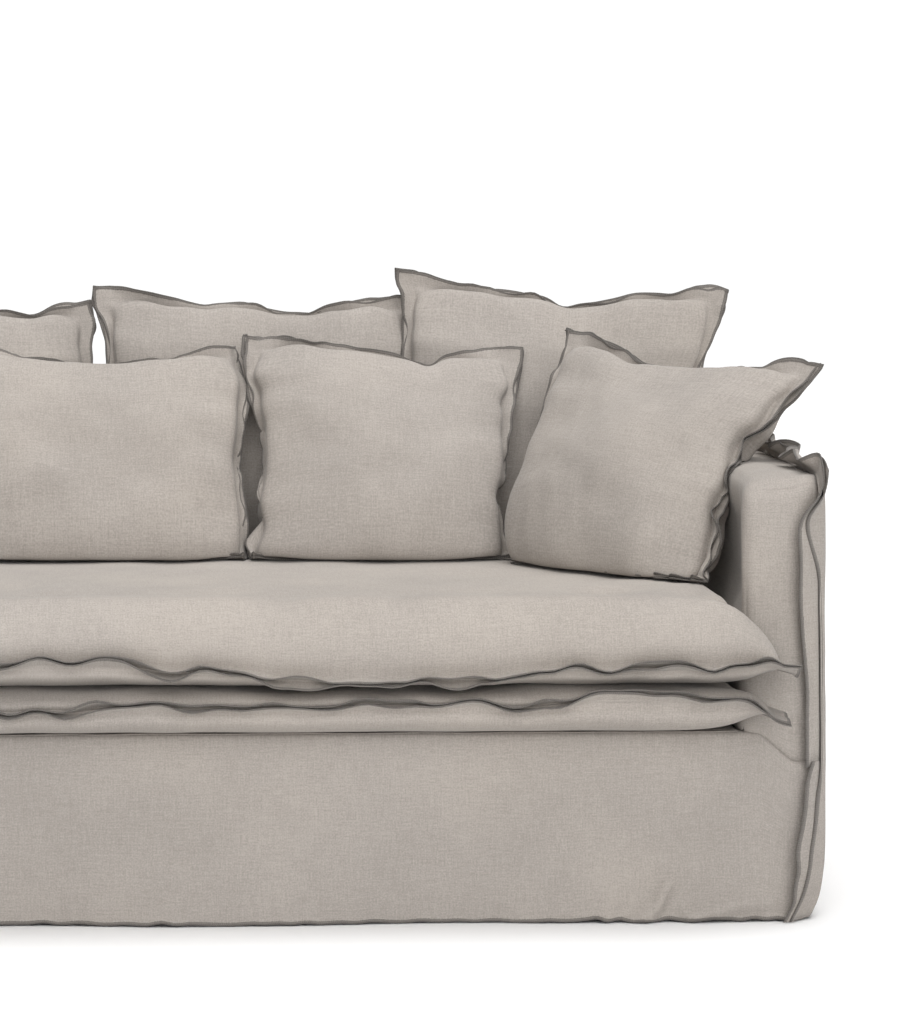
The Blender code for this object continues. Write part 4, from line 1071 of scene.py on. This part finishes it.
def skirt_front():
    seed = 400
    seam_x = HALF_W - SEAM_IN
    xs = np.concatenate([fan(-seam_x, -seam_x + 0.32, 36), fan(-seam_x + 0.32, seam_x - 0.32, 76)[1:], fan(seam_x - 0.32, seam_x, 36)[1:]])
    top = DECK_Z - 0.005
    zs = np.concatenate([[0.003, 0.005, 0.0088, 0.0112], fan(0.0112, 0.09, 9)[1:], fan(0.09, top, 11)[1:], [top + 0.004, top + 0.0045]])
    co, Q, kinds, key = lattice(xs, [FRONT_Y, FRONT_Y + 0.01], zs, ["-y"])
    uv = face_uv(co, Q, kinds)
    x, z = co[:, 0], co[:, 2]
    slope = np.clip((np.abs(x) - 0.925) / 0.045, 0, 1)
    hem_z = curve(HEM, x, 0.02) - 0.001 + 0.0015 * field(x, seed + 1, 0.03, 0.09, 12) * (1 - step(np.abs(x), 0.96, 1.0))
    t = (z - 0.003) / (top - 0.003)
    hi = top - 0.040 * slope
    zz = hem_z + (z - 0.003) + (hi - top - hem_z + 0.003) * t
    P = np.stack([x, np.full(len(x), FRONT_Y), zz], 1)
    # the top edge is turned back over the edge of the deck
    lap = np.clip((z - top) / 0.0045, 0, 1)
    P[:, 1] += np.where(z > top + 0.0001, np.where(z > top + 0.0042, 0.014, 0.0022), 0)
    P[:, 2] += np.where(z > top + 0.0001, np.where(slope > 0, -0.0015, 0.0006), 0)
    calm = step(seam_x - np.abs(x), 0.0, 0.10)
    d = np.clip(1 - zz / DECK_Z, 0, 1)
    w = 0.75 * field(np.stack([x + 0.10 * z], 1), seed + 2, 0.28, 0.75, 6)
    P[:, 1] -= d ** 1.2 * calm * 0.007 * w + flare(zz)
    # slanting folds near the corners: ends, width and height of each
    def ridge(x0, z0, x1, z1, width, height):
        d = np.array([x1 - x0, z1 - z0])
        n = np.linalg.norm(d)
        d /= n
        out = np.zeros(len(x))
        for side in (1, -1):
            px, pz = x * side - x0, zz - z0
            u = px * d[0] + pz * d[1]
            v = -px * d[1] + pz * d[0] + 0.003 * np.sin(u * 60)
            body = np.exp(-(v / width) ** 2) * step(u, -0.01, 0.012) * (1 - step(u, n * 0.55, n * 1.05))
            out += body * (1.0 if side > 0 else 0.8)
        return out * height

    P[:, 1] -= (ridge(0.757, 0.0, 0.812, 0.072, 0.0078, 0.0165) + ridge(0.741, 0.0, 0.768, 0.036, 0.0058, 0.0105)
                + ridge(0.815, 0.010, 0.960, 0.036, 0.0130, 0.0145) + ridge(0.70, 0.0, 0.722, 0.030, 0.0070, 0.0070)
                + ridge(0.30, 0.0, 0.33, 0.06, 0.012, 0.0022) + ridge(0.52, 0.0, 0.50, 0.07, 0.013, 0.0022)
                + ridge(0.08, 0.0, 0.05, 0.05, 0.010, 0.0020))
    base_n = len(P)
    dist = np.where(z < 0.1, z - 0.003, 0.12)
    along = x.copy()
    fabric = [uv]
    for sx in (1, -1):
        on = np.nonzero(np.abs(co[:, 0] - sx * seam_x) < 1e-6)[0]
        order = on[np.argsort(co[on, 2])]
        if sx < 0:
            order = order[::-1]
        oy, oz = P[order, 1], P[order, 2]
        rows, dr = [], []
        wide = curve(FIN_UNDER, oz, 0.004) + 0.0012 * field(oz, seed + 21, 0.05, 0.13, 8)
        wide *= 1 - 0.55 * step(oz, 0.185, 0.235)
        for share, out_y in ((-0.0026, 0.0028), (0.0, 0.0055), (0.40, 0.0057), (0.7, 0.0058)):
            inward = share if share < 0 else share * (wide - STEPS[0])
            tilt = np.tan(curve(FIN_TURN, oz) * math.pi / 180) * np.maximum(inward, 0)
            rows.append(np.stack([sx * (seam_x - inward + 0 * oz), oy - out_y - tilt, oz], 1))
            dr.append(wide - inward)
        for back_from in STEPS:
            tilt = np.tan(curve(FIN_TURN, oz) * math.pi / 180) * np.maximum(wide - back_from, 0)
            rows.append(np.stack([sx * (seam_x - wide + back_from), oy - 0.0059 - tilt - 0.0004 * field(oz, seed + 22, 0.04, 0.1, 7), oz], 1))
            dr.append(back_from + 0 * oz)
        nq0 = len(Q)
        P, Q, nums, _ = add_rows(P, Q, order, rows)
        extra = np.zeros(len(P) - len(dist))
        dist = np.concatenate([dist, extra])
        dist[order] = 0.05
        for num, dd in zip(nums[1:], dr):
            dist[num] = dd
        along = np.concatenate([along, extra])
        fab = np.zeros((len(P), 2))
        for kk, num in enumerate(nums):
            fab[num] = np.stack([0.05 + 0 * oz if kk == 0 else dr[kk - 1], oz], 1)
            if kk:
                along[num] = oz
        fabric.append(fab[Q[nq0:]])
    uv = np.concatenate(fabric)
    fin = np.arange(len(P)) >= base_n
    mob = np.ones(len(P))
    mob[fin] = 0.0
    z_all = P[:, 2]
    mob[:base_n] = np.where(co[:, 2] > top - 0.015, 0.0, mob[:base_n])
    mob[:base_n] = np.where(np.abs(co[:, 0]) > seam_x - 0.045, 0.0, mob[:base_n])
    near_hem = np.exp(-(np.clip(z_all, 0, 1) / 0.02) ** 2)
    ex = 0.004 + 0.020 * near_hem
    cap = np.where(fin, 0.0005, 0.0035)

    def hold(X):
        body = np.arange(len(X)) < base_n
        X[body, 1] = np.minimum(X[body, 1], FRONT_Y + 0.016)
        X[:, 2] = np.maximum(X[:, 2], 0.0012)

    return panel("skirt_front_linen", P, Q, uv, dist, along, ex, mob, cap, seed, LINEN["cover_front_shaded"],
                 hold=hold), "skirt_front"


def back_inner():
    seed = 500
    x1 = ARM_IN - 0.004
    y0, y1 = BACK_IN, BACK_Y - SEAM_IN
    z0, z1 = DECK_Z + 0.001, ARM_H
    r = 0.012
    xs = fan(-x1, x1, 64)
    ys = np.concatenate([y0 + r * np.array([0, 0.3, 0.65, 1.0]), fan(y0 + r, y1, 6)[1:]])
    zs = np.concatenate([fan(z0, z1 - r, 12), z1 - r * np.array([0.65, 0.3, 0])])
    co, Q, kinds, key = lattice(xs, ys, zs, ["-y", "+z"])
    uv = face_uv(co, Q, kinds)
    x, y, z = co.T.copy()
    a, b = np.maximum(0, y0 + r - y), np.maximum(0, z - (z1 - r))
    k = np.where((a > 0) & (b > 0), np.maximum(a, b) / np.maximum(np.hypot(a, b), 1e-9), 1.0)
    m = (a > 0) & (b > 0)
    y = np.where(m, y0 + r - a * k, y)
    z = np.where(m, z1 - r + b * k, z)
    P = np.stack([x, y, z], 1)
    P[:, 2] += np.where(co[:, 2] > z1 - 1e-6, 0.0030 * np.sin(math.pi * np.clip((co[:, 1] - y0) / (y1 - y0), 0, 1)), 0)
    on = np.nonzero((key[:, 1] == key[:, 1].max()) & (key[:, 2] == key[:, 2].max()))[0]
    order = on[np.argsort(-co[on, 0])]
    ox, oy, oz = P[order].T
    w = field(ox, 41, 0.10, 0.30, 9)
    W = 0.030 + 0.002 * field(ox, seed + 6, 0.06, 0.15, 8)
    rows, dr = [], []
    for up, backk, dd in ((0.0035, 0.0020, 0.027), (0.0120, 0.0032, 0.018), (0.0218, 0.0052, 0.0082), (0.0242, 0.0062, 0.0058),
                          (0.0280, 0.0080, 0.0020), (0.0300, 0.0090, 0.0)):
        rows.append(np.stack([ox, oy + backk * (1 + 0.30 * w), oz + up * W / 0.030], 1))
        dr.append(np.full_like(ox, dd))
    base_n = len(P)
    P, Q2, nums, _ = add_rows(P, Q, order, rows)
    dist, along, fab = np.full(len(P), 0.12), np.zeros(len(P)), np.zeros((len(P), 2))
    dist[order] = 0.03
    for num, d in zip(nums[1:], dr):
        dist[num] = d
    for num in nums:
        along[num] = ox
        fab[num] = np.stack([ox, dist[num]], 1)
    uv = np.concatenate([uv, fab[Q2[len(Q):]]])
    fin = np.arange(len(P)) >= base_n
    w_free = np.clip(1 - dist / 0.03, 0, 1) * fin
    ex = np.where(fin, 0.012 + 0.05 * w_free, 0.005)
    mob = np.ones(len(P))
    mob[order] = 0
    cap = np.where(fin, 0.001 + 0.0030 * w_free, 0.003)

    def hold(X):
        X[fin, 1] = np.minimum(X[fin, 1], oy[0] + 0.0105 + 0 * X[fin, 1])

    return panel("back_inner_linen", P, Q2, uv, dist, along, ex, mob, cap, seed, LINEN["cover"],
                 hold=hold), "back_inner"


def back_outer():
    seed = 550
    x1 = HALF_W - SEAM_IN
    z1 = ARM_H - 0.004
    x_top = 0.959
    xs = np.concatenate([fan(-x1, -x_top, 3), fan(-x_top, x_top, 76)[1:], fan(x_top, x1, 3)[1:]])
    zs = np.concatenate([[0.003, 0.005, 0.0088, 0.0112], fan(0.0112, ARM_H - 0.060, 17)[1:], fan(ARM_H - 0.060, z1, 4)[1:]])
    co, Q, kinds, key = lattice(xs, [BACK_Y - 0.01, BACK_Y], zs, ["+y"])
    uv = face_uv(co, Q, kinds)
    P = co.copy()
    x, z = co[:, 0], co[:, 2]
    calm = step(x1 - 0.03 - np.abs(x), 0.0, 0.12)
    hem_wave(P, 1, 1, seed + 1, 0.0065, calm)
    inner = np.minimum(x1 - np.abs(x), z1 - z)
    P[:, 1] += 0.003 * step(inner, 0.0, 0.12) * step(z, 0.05, 0.25)
    low = 1 - step(z, 0.003, 0.03)
    P[:, 2] += low * (0.002 + 0.0015 * field(x, seed + 2, 0.1, 0.35, 8))
    base_n = len(P)
    dist = np.where(z < 0.1, z - 0.003, 0.12)
    along = x.copy()
    fabs = [uv]
    # top flange, standing
    on = np.nonzero((co[:, 2] > z1 - 1e-6) & (np.abs(x) < x_top + 1e-6))[0]
    order = on[np.argsort(co[on, 0])]
    ox, oy, oz = P[order].T
    w = field(ox, 41, 0.10, 0.30, 9)
    W = 0.030 + 0.002 * field(ox, seed + 6, 0.06, 0.15, 8)
    rows, dr = [], []
    for up, backk, dd in ((0.0080, 0.0010, 0.026), (0.0160, 0.0030, 0.018), (0.0258, 0.0062, 0.0082), (0.0282, 0.0072, 0.0058),
                          (0.0320, 0.0090, 0.0020), (0.0340, 0.0100, 0.0)):
        rows.append(np.stack([ox, oy + backk * (1 + 0.30 * w), oz + up * (0.7 + 0.3 * W / 0.030)], 1))
        dr.append(dd)
    nq0 = len(Q)
    P, Q, nums, _ = add_rows(P, Q, order, rows)
    n1 = len(P)
    dist = np.concatenate([dist, np.zeros(n1 - base_n)])
    along = np.concatenate([along, np.zeros(n1 - base_n)])
    fab = np.zeros((n1, 2))
    fab[order] = np.stack([ox, 0.03 + 0 * ox], 1)
    for num, d in zip(nums[1:], dr):
        dist[num] = d
        along[num] = ox
        fab[num] = np.stack([ox, d + 0 * ox], 1)
    fabs.append(fab[Q[nq0:]])
    # side flanges, turned back under the arm's
    for sx in (1, -1):
        on = np.nonzero((np.abs(x - sx * x1) < 1e-6) & (z < ARM_H - 0.060 + 1e-6))[0]
        order = on[np.argsort(co[on, 2])]
        if sx > 0:
            order = order[::-1]
        oz = P[order, 2]
        rows = [np.stack([np.full(len(order), sx * (x1 - i)), np.full(len(order), BACK_Y + o), oz], 1)
                for o, i in ((0.0026, -0.0026), (0.0055, 0.0), (0.0060, 0.0140), (0.0062, 0.0240))]
        nq0 = len(Q)
        nb = len(P)
        P, Q, nums, _ = add_rows(P, Q, order, rows)
        dist = np.concatenate([dist, np.full(len(P) - nb, 0.02)])
        along = np.concatenate([along, np.zeros(len(P) - nb)])
        fab = np.zeros((len(P), 2))
        for kk, num in enumerate(nums):
            fab[num] = np.stack([0.01 * kk + 0 * oz, oz], 1)
        fabs.append(fab[Q[nq0:]])
    uv = np.concatenate(fabs)
    ids = np.arange(len(P))
    top_fin = (ids >= base_n) & (ids < n1)
    side_fin = ids >= n1
    w_free = np.clip(1 - dist / 0.03, 0, 1) * top_fin
    near_hem = np.exp(-(np.clip(P[:, 2], 0, 1) / 0.02) ** 2)
    ex = 0.005 + 0.015 * near_hem + w_free * 0.05
    mob = np.where(side_fin, 0.0, 1.0)
    mob[:base_n] = np.where(np.abs(x) > x1 - 0.03, 0.0, mob[:base_n])
    cap = np.where(top_fin, 0.001 + 0.0030 * w_free, 0.0040)

    def hold(X):
        X[top_fin, 1] = np.maximum(X[top_fin, 1], BACK_Y + 0.0030)
        X[:, 2] = np.maximum(X[:, 2], 0.0012)

    return panel("back_outer_linen", P, Q, uv, dist, along, ex, mob, cap, seed, LINEN["cover_side_shaded"],
                 hold=hold), "back_outer"


def deck():
    x1 = ARM_IN - 0.003
    co, Q, kinds, key = lattice(fan(-x1, x1, 48), fan(FRONT_Y + 0.003, BACK_IN - 0.003, 24), [DECK_Z, DECK_Z + 0.01], ["-z"])
    Q = Q[:, ::-1]
    P = co.copy()
    P[:, 2] = DECK_Z + 0.0004 * field(co[:, :2], 600, 0.08, 0.25, 10)
    uv = face_uv(co, Q, kinds)
    n = len(P)
    return panel("deck_linen", P, Q, uv, np.full(n, 0.12), np.zeros(n), np.zeros(n), np.zeros(n), 0.001, 600, LINEN["cover"],
                 rounds=0, level=0), "deck"


# ------------------------------------------------------------------ materials
class Graph:
    def __init__(self, name):
        self.mat = bpy.data.materials.new(name)
        self.mat.use_nodes = True
        self.t = self.mat.node_tree
        self.bsdf = self.t.nodes["Principled BSDF"]

    def node(self, kind, **props):
        n = self.t.nodes.new(kind)
        for k, v in props.items():
            setattr(n, k, v)
        return n

    def put(self, socket, value):
        if hasattr(value, "links") or isinstance(value, bpy.types.NodeSocket):
            self.t.links.new(value, socket)
        else:
            socket.default_value = value

    def math(self, op, a, b=0.0, c=0.0):
        n = self.node('ShaderNodeMath', operation=op)
        for s, v in zip(n.inputs, (a, b, c)):
            self.put(s, v)
        return n.outputs[0]

    def ramp(self, value, lo, hi, out_lo=0.0, out_hi=1.0):
        n = self.node('ShaderNodeMapRange', interpolation_type='SMOOTHSTEP')
        for s, v in zip(n.inputs, (value, lo, hi, out_lo, out_hi)):
            self.put(s, v)
        return n.outputs[0]

    def noise(self, vec, scale, detail=2.0, stretch=None, roughness=0.55):
        if stretch is not None:
            m = self.node('ShaderNodeMapping')
            self.put(m.inputs[0], vec)
            m.inputs['Scale'].default_value = stretch
            vec = m.outputs[0]
        n = self.node('ShaderNodeTexNoise')
        self.put(n.inputs['Vector'], vec)
        n.inputs['Scale'].default_value = scale
        n.inputs['Detail'].default_value = detail
        n.inputs['Roughness'].default_value = roughness
        return n.outputs[0]

    def mix(self, f, a, b):
        n = self.node('ShaderNodeMix', data_type='RGBA')
        self.put(n.inputs[0], f)
        self.put(n.inputs[6], a)
        self.put(n.inputs[7], b)
        return n.outputs[2]


def linen(name, base, seed, stitched=0.0066, dense=0.68):
    """Washed linen: uneven warp and weft threads, slubs, soft mottling, and a
    dark overlock stitch along every free edge."""
    g = Graph(name)
    cloth = g.node('ShaderNodeUVMap', uv_map="cloth").outputs[0]
    shift = g.node('ShaderNodeMapping')
    g.put(shift.inputs[0], cloth)
    shift.inputs['Location'].default_value = (seed * 1.37, seed * 2.11, 0)
    cloth = shift.outputs[0]
    coords = g.node('ShaderNodeTexCoord').outputs['Object']
    warp = g.noise(cloth, 1.0, 2.0, (900.0, 60.0, 1.0))
    weft = g.noise(cloth, 1.0, 2.0, (60.0, 900.0, 1.0))
    slub_a = g.noise(cloth, 1.0, 1.0, (330.0, 22.0, 1.0))
    slub_b = g.noise(cloth, 1.0, 1.0, (22.0, 330.0, 1.0))
    broad = g.noise(coords, 4.5, 3.0)
    fleck = g.noise(cloth, 420.0, 1.0)
    # threads, 0.5 in the middle
    threads = g.math('MULTIPLY_ADD', g.math('ADD', warp, weft), 0.5, 0.0)
    slubs = g.math('MULTIPLY_ADD', g.math('ADD', slub_a, slub_b), 0.5, 0.0)
    tone = g.math('MULTIPLY_ADD', threads, 0.44, g.math('MULTIPLY_ADD', slubs, 0.24, g.math('MULTIPLY_ADD', broad, 0.26, g.math('MULTIPLY', fleck, 0.36))))
    tone = g.ramp(tone, 0.46, 0.84)
    dark = tuple(c * 0.80 for c in base) + (1.0,)
    light = tuple(min(1.0, c * 1.19) for c in base) + (1.0,)
    body = g.mix(tone, dark, light)
    # a little yellower and greyer here and there
    warm = g.ramp(g.noise(coords, 2.2, 2.0), 0.35, 0.70)
    hue = g.node('ShaderNodeMix', data_type='RGBA', blend_type='MULTIPLY')
    g.put(hue.inputs[0], warm)
    g.put(hue.inputs[6], body)
    g.put(hue.inputs[7], (1.0, 0.992, 0.976, 1.0))
    body = hue.outputs[2]
    # overlock stitch
    edge = g.node('ShaderNodeUVMap', uv_map="edge").outputs[0]
    sep = g.node('ShaderNodeSeparateXYZ')
    g.put(sep.inputs[0], edge)
    along, away = sep.outputs[0], sep.outputs[1]
    ragged = g.math('MULTIPLY_ADD', g.noise(cloth, 420.0, 2.0), 0.0018, g.math('SUBTRACT', away, 0.0009))
    band = g.ramp(ragged, stitched, stitched - 0.0010)
    rim = g.ramp(away, 0.0030, 0.0012)
    needle = g.math('MULTIPLY', g.ramp(away, 0.0040, 0.0048), band)
    stitch = g.math('SINE', g.math('MULTIPLY_ADD', along, 2 * math.pi / 0.0027, g.math('MULTIPLY', away, 260.0)))
    stitch01 = g.math('MULTIPLY_ADD', stitch, 0.5, 0.5)
    loops = g.math('SINE', g.math('MULTIPLY', away, 2 * math.pi / 0.0031))
    thread_tone = g.math('MULTIPLY_ADD', g.noise(cloth, 300.0, 2.0), 0.5, g.math('MULTIPLY', stitch01, 0.5))
    stitch_col = g.mix(thread_tone, (0.048, 0.043, 0.039, 1.0), (0.155, 0.142, 0.130, 1.0))
    cover = g.math('MULTIPLY_ADD', rim, 0.25, g.math('MULTIPLY_ADD', needle, 0.14, g.math('MULTIPLY_ADD', stitch01, 0.14, dense)))
    colour = g.mix(g.math('MULTIPLY', band, cover), body, stitch_col)
    g.put(g.bsdf.inputs['Base Color'], colour)
    g.put(g.bsdf.inputs['Roughness'], g.math('MULTIPLY_ADD', tone, -0.08, 0.94))
    g.bsdf.inputs['Metallic'].default_value = 0.0
    g.bsdf.inputs['Specular IOR Level'].default_value = 0.25
    g.bsdf.inputs['Sheen Weight'].default_value = 0.10
    g.bsdf.inputs['Sheen Roughness'].default_value = 0.45
    # height: threads, slubs, and the raised stitch
    high = g.math('MULTIPLY_ADD', threads, 0.00034, g.math('MULTIPLY', slubs, 0.00030))
    crumple = g.noise(coords, 55.0, 3.0)
    high = g.math('MULTIPLY_ADD', crumple, 0.0009, high)
    high2 = g.math('MULTIPLY', band, g.math('MULTIPLY_ADD', stitch01, 0.00055, g.math('MULTIPLY', loops, 0.00012)))
    total = g.math('ADD', high, high2)
    bump = g.node('ShaderNodeBump')
    bump.inputs['Strength'].default_value = 0.62
    bump.inputs['Distance'].default_value = 1.0
    g.put(bump.inputs['Height'], total)
    g.put(g.bsdf.inputs['Normal'], bump.outputs[0])
    return g.mat


def make_materials():
    base = np.array([0.318, 0.289, 0.263])
    # copies of the one linen, each with its own seed: the skirt front and the outer side panels are made a little
    # darker and the mattresses a little lighter, painted shade and painted light for how those faces stand to the
    # lamps; the cushions' copies differ at random
    for key, k, seed in (("cover", 1.0, 1), ("cover_front_shaded", 0.985, 2), ("cover_side_shaded", 0.98, 3), ("mattress", 1.015, 4),
                         ("cushion_0", 1.0, 5), ("cushion_1", 1.01, 6), ("cushion_2", 1.02, 7)):
        narrow = {"mattress": (0.0052, 0.56), "cover": (0.0058, 0.60), "cover_front_shaded": (0.0058, 0.60), "cover_side_shaded": (0.0058, 0.60)}
        LINEN[key] = linen("linen_" + key, tuple(base * k), seed, *narrow.get(key, (0.0066, 0.68)))


# ------------------------------------------------------------------ the set
def place(ob, node, slot):
    ob.location.z = -FLOOR
    ob.update_tag()
    me = ob.data
    me.transform(Matrix.Translation((0, 0, -FLOOR)))
    ob.location.z = 0.0
    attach(ob, "root")
    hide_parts(node)


def stage_and_light():
    floor_me = bpy.data.meshes.new("floor")
    s = 14.0
    floor_me.from_pydata([(-s, -s, -FLOOR), (s, -s, -FLOOR), (s, s, -FLOOR), (-s, s, -FLOOR)], [], [(0, 1, 2, 3)])
    floor = bpy.data.objects.new("floor", floor_me)
    bpy.context.scene.collection.objects.link(floor)
    m = bpy.data.materials.new("pale_floor")
    m.use_nodes = True
    b = m.node_tree.nodes["Principled BSDF"]
    b.inputs["Base Color"].default_value = (0.88, 0.88, 0.88, 1)
    b.inputs["Roughness"].default_value = 0.9
    b.inputs["Specular IOR Level"].default_value = 0.1
    floor_me.materials.append(m)
    world = bpy.context.scene.world or bpy.data.worlds.new("studio")
    bpy.context.scene.world = world
    world.use_nodes = True
    t = world.node_tree
    bg = t.nodes["Background"]
    bg.inputs[0].default_value = (1.0, 1.0, 1.0, 1.0)
    # a low white backdrop round the back and the sides, and a dimmer room above and in front
    coords = t.nodes.new('ShaderNodeTexCoord')
    sep = t.nodes.new('ShaderNodeSeparateXYZ')
    t.links.new(coords.outputs['Generated'], sep.inputs[0])
    both = t.nodes.new('ShaderNodeMath')
    both.operation = 'MULTIPLY'
    for k, axis, ends in ((0, 2, (0.085, 0.150, 1.0, 0.0)), (1, 1, (-0.60, -0.30, 0.0, 1.0))):
        rng = t.nodes.new('ShaderNodeMapRange')
        rng.interpolation_type = 'SMOOTHSTEP'
        for sock, v in zip(rng.inputs[1:5], ends):
            sock.default_value = v
        t.links.new(sep.outputs[axis], rng.inputs[0])
        t.links.new(rng.outputs[0], both.inputs[k])
    power = t.nodes.new('ShaderNodeMath')
    power.operation = 'MULTIPLY_ADD'
    power.inputs[1].default_value = 0.96
    power.inputs[2].default_value = 0.07
    t.links.new(both.outputs[0], power.inputs[0])
    t.links.new(power.outputs[0], bg.inputs[1])

    def lamp(kind, name, at, target, energy, **props):
        data = bpy.data.lights.new(name, kind)
        data.energy = energy
        for k, v in props.items():
            setattr(data, k, v)
        ob = bpy.data.objects.new(name, data)
        ob.location = at
        ob.rotation_euler = (Vector(target) - Vector(at)).to_track_quat('-Z', 'Y').to_euler()
        bpy.context.scene.collection.objects.link(ob)

    lamp('SUN', "front_panel", (0.25, -5.0, 1.7), (0.0, 0.0, 0.0), 3.08, angle=math.radians(64))
    lamp('SUN', "top_panel", (0.20, 0.5, 6.0), (0.0, 0.0, 0.0), 3.33, angle=math.radians(64))
    bpy.context.scene.view_settings.view_transform = 'Standard'


def camera():
    yaw, pitch, roll = math.radians(4.64986), math.radians(4.56285), math.radians(0.31556)
    cy, sy, cp, sp = math.cos(yaw), math.sin(yaw), math.cos(pitch), math.sin(pitch)
    fwd = Vector((sy * cp, cy * cp, -sp))
    right = Vector((cy, -sy, 0))
    up = right.cross(fwd)
    r = math.cos(roll) * right + math.sin(roll) * up
    u = -math.sin(roll) * right + math.cos(roll) * up
    m = Matrix((r, u, -fwd)).transposed().to_4x4()
    m.translation = Vector((0.0, -6.5, 1.0625 - FLOOR))
    data = bpy.data.cameras.new("camera")
    data.sensor_fit = 'HORIZONTAL'
    data.sensor_width = 36.0
    data.lens = 4364.0 / 900 * 36.0
    data.clip_end = 60.0
    cam = bpy.data.objects.new("camera", data)
    cam.matrix_world = m
    bpy.context.scene.collection.objects.link(cam)
    bpy.context.scene.camera = cam


make_materials()
camera()
stage_and_light()
for row in CUSHIONS:
    ob, node = cushion(row)
    place(ob, node, "linen_cushion")
for args in (("mattress_lower", 0.2705, 0.3030, 0.3362, -0.572, 0.893, 0.952, LOWER_LINE, 700),
             ("mattress_upper", 0.3380, 0.3580, SEAT_Z, -0.580, 0.893, 0.966, UPPER_LINE, 750)):
    place(mattress(*args), args[0], "linen_mattress")
for ob, node in (skirt_front(), arm_inner(1), arm_inner(-1), arm_outer(1), arm_outer(-1), back_inner(), back_outer(), deck()):
    place(ob, node, "linen_cover")
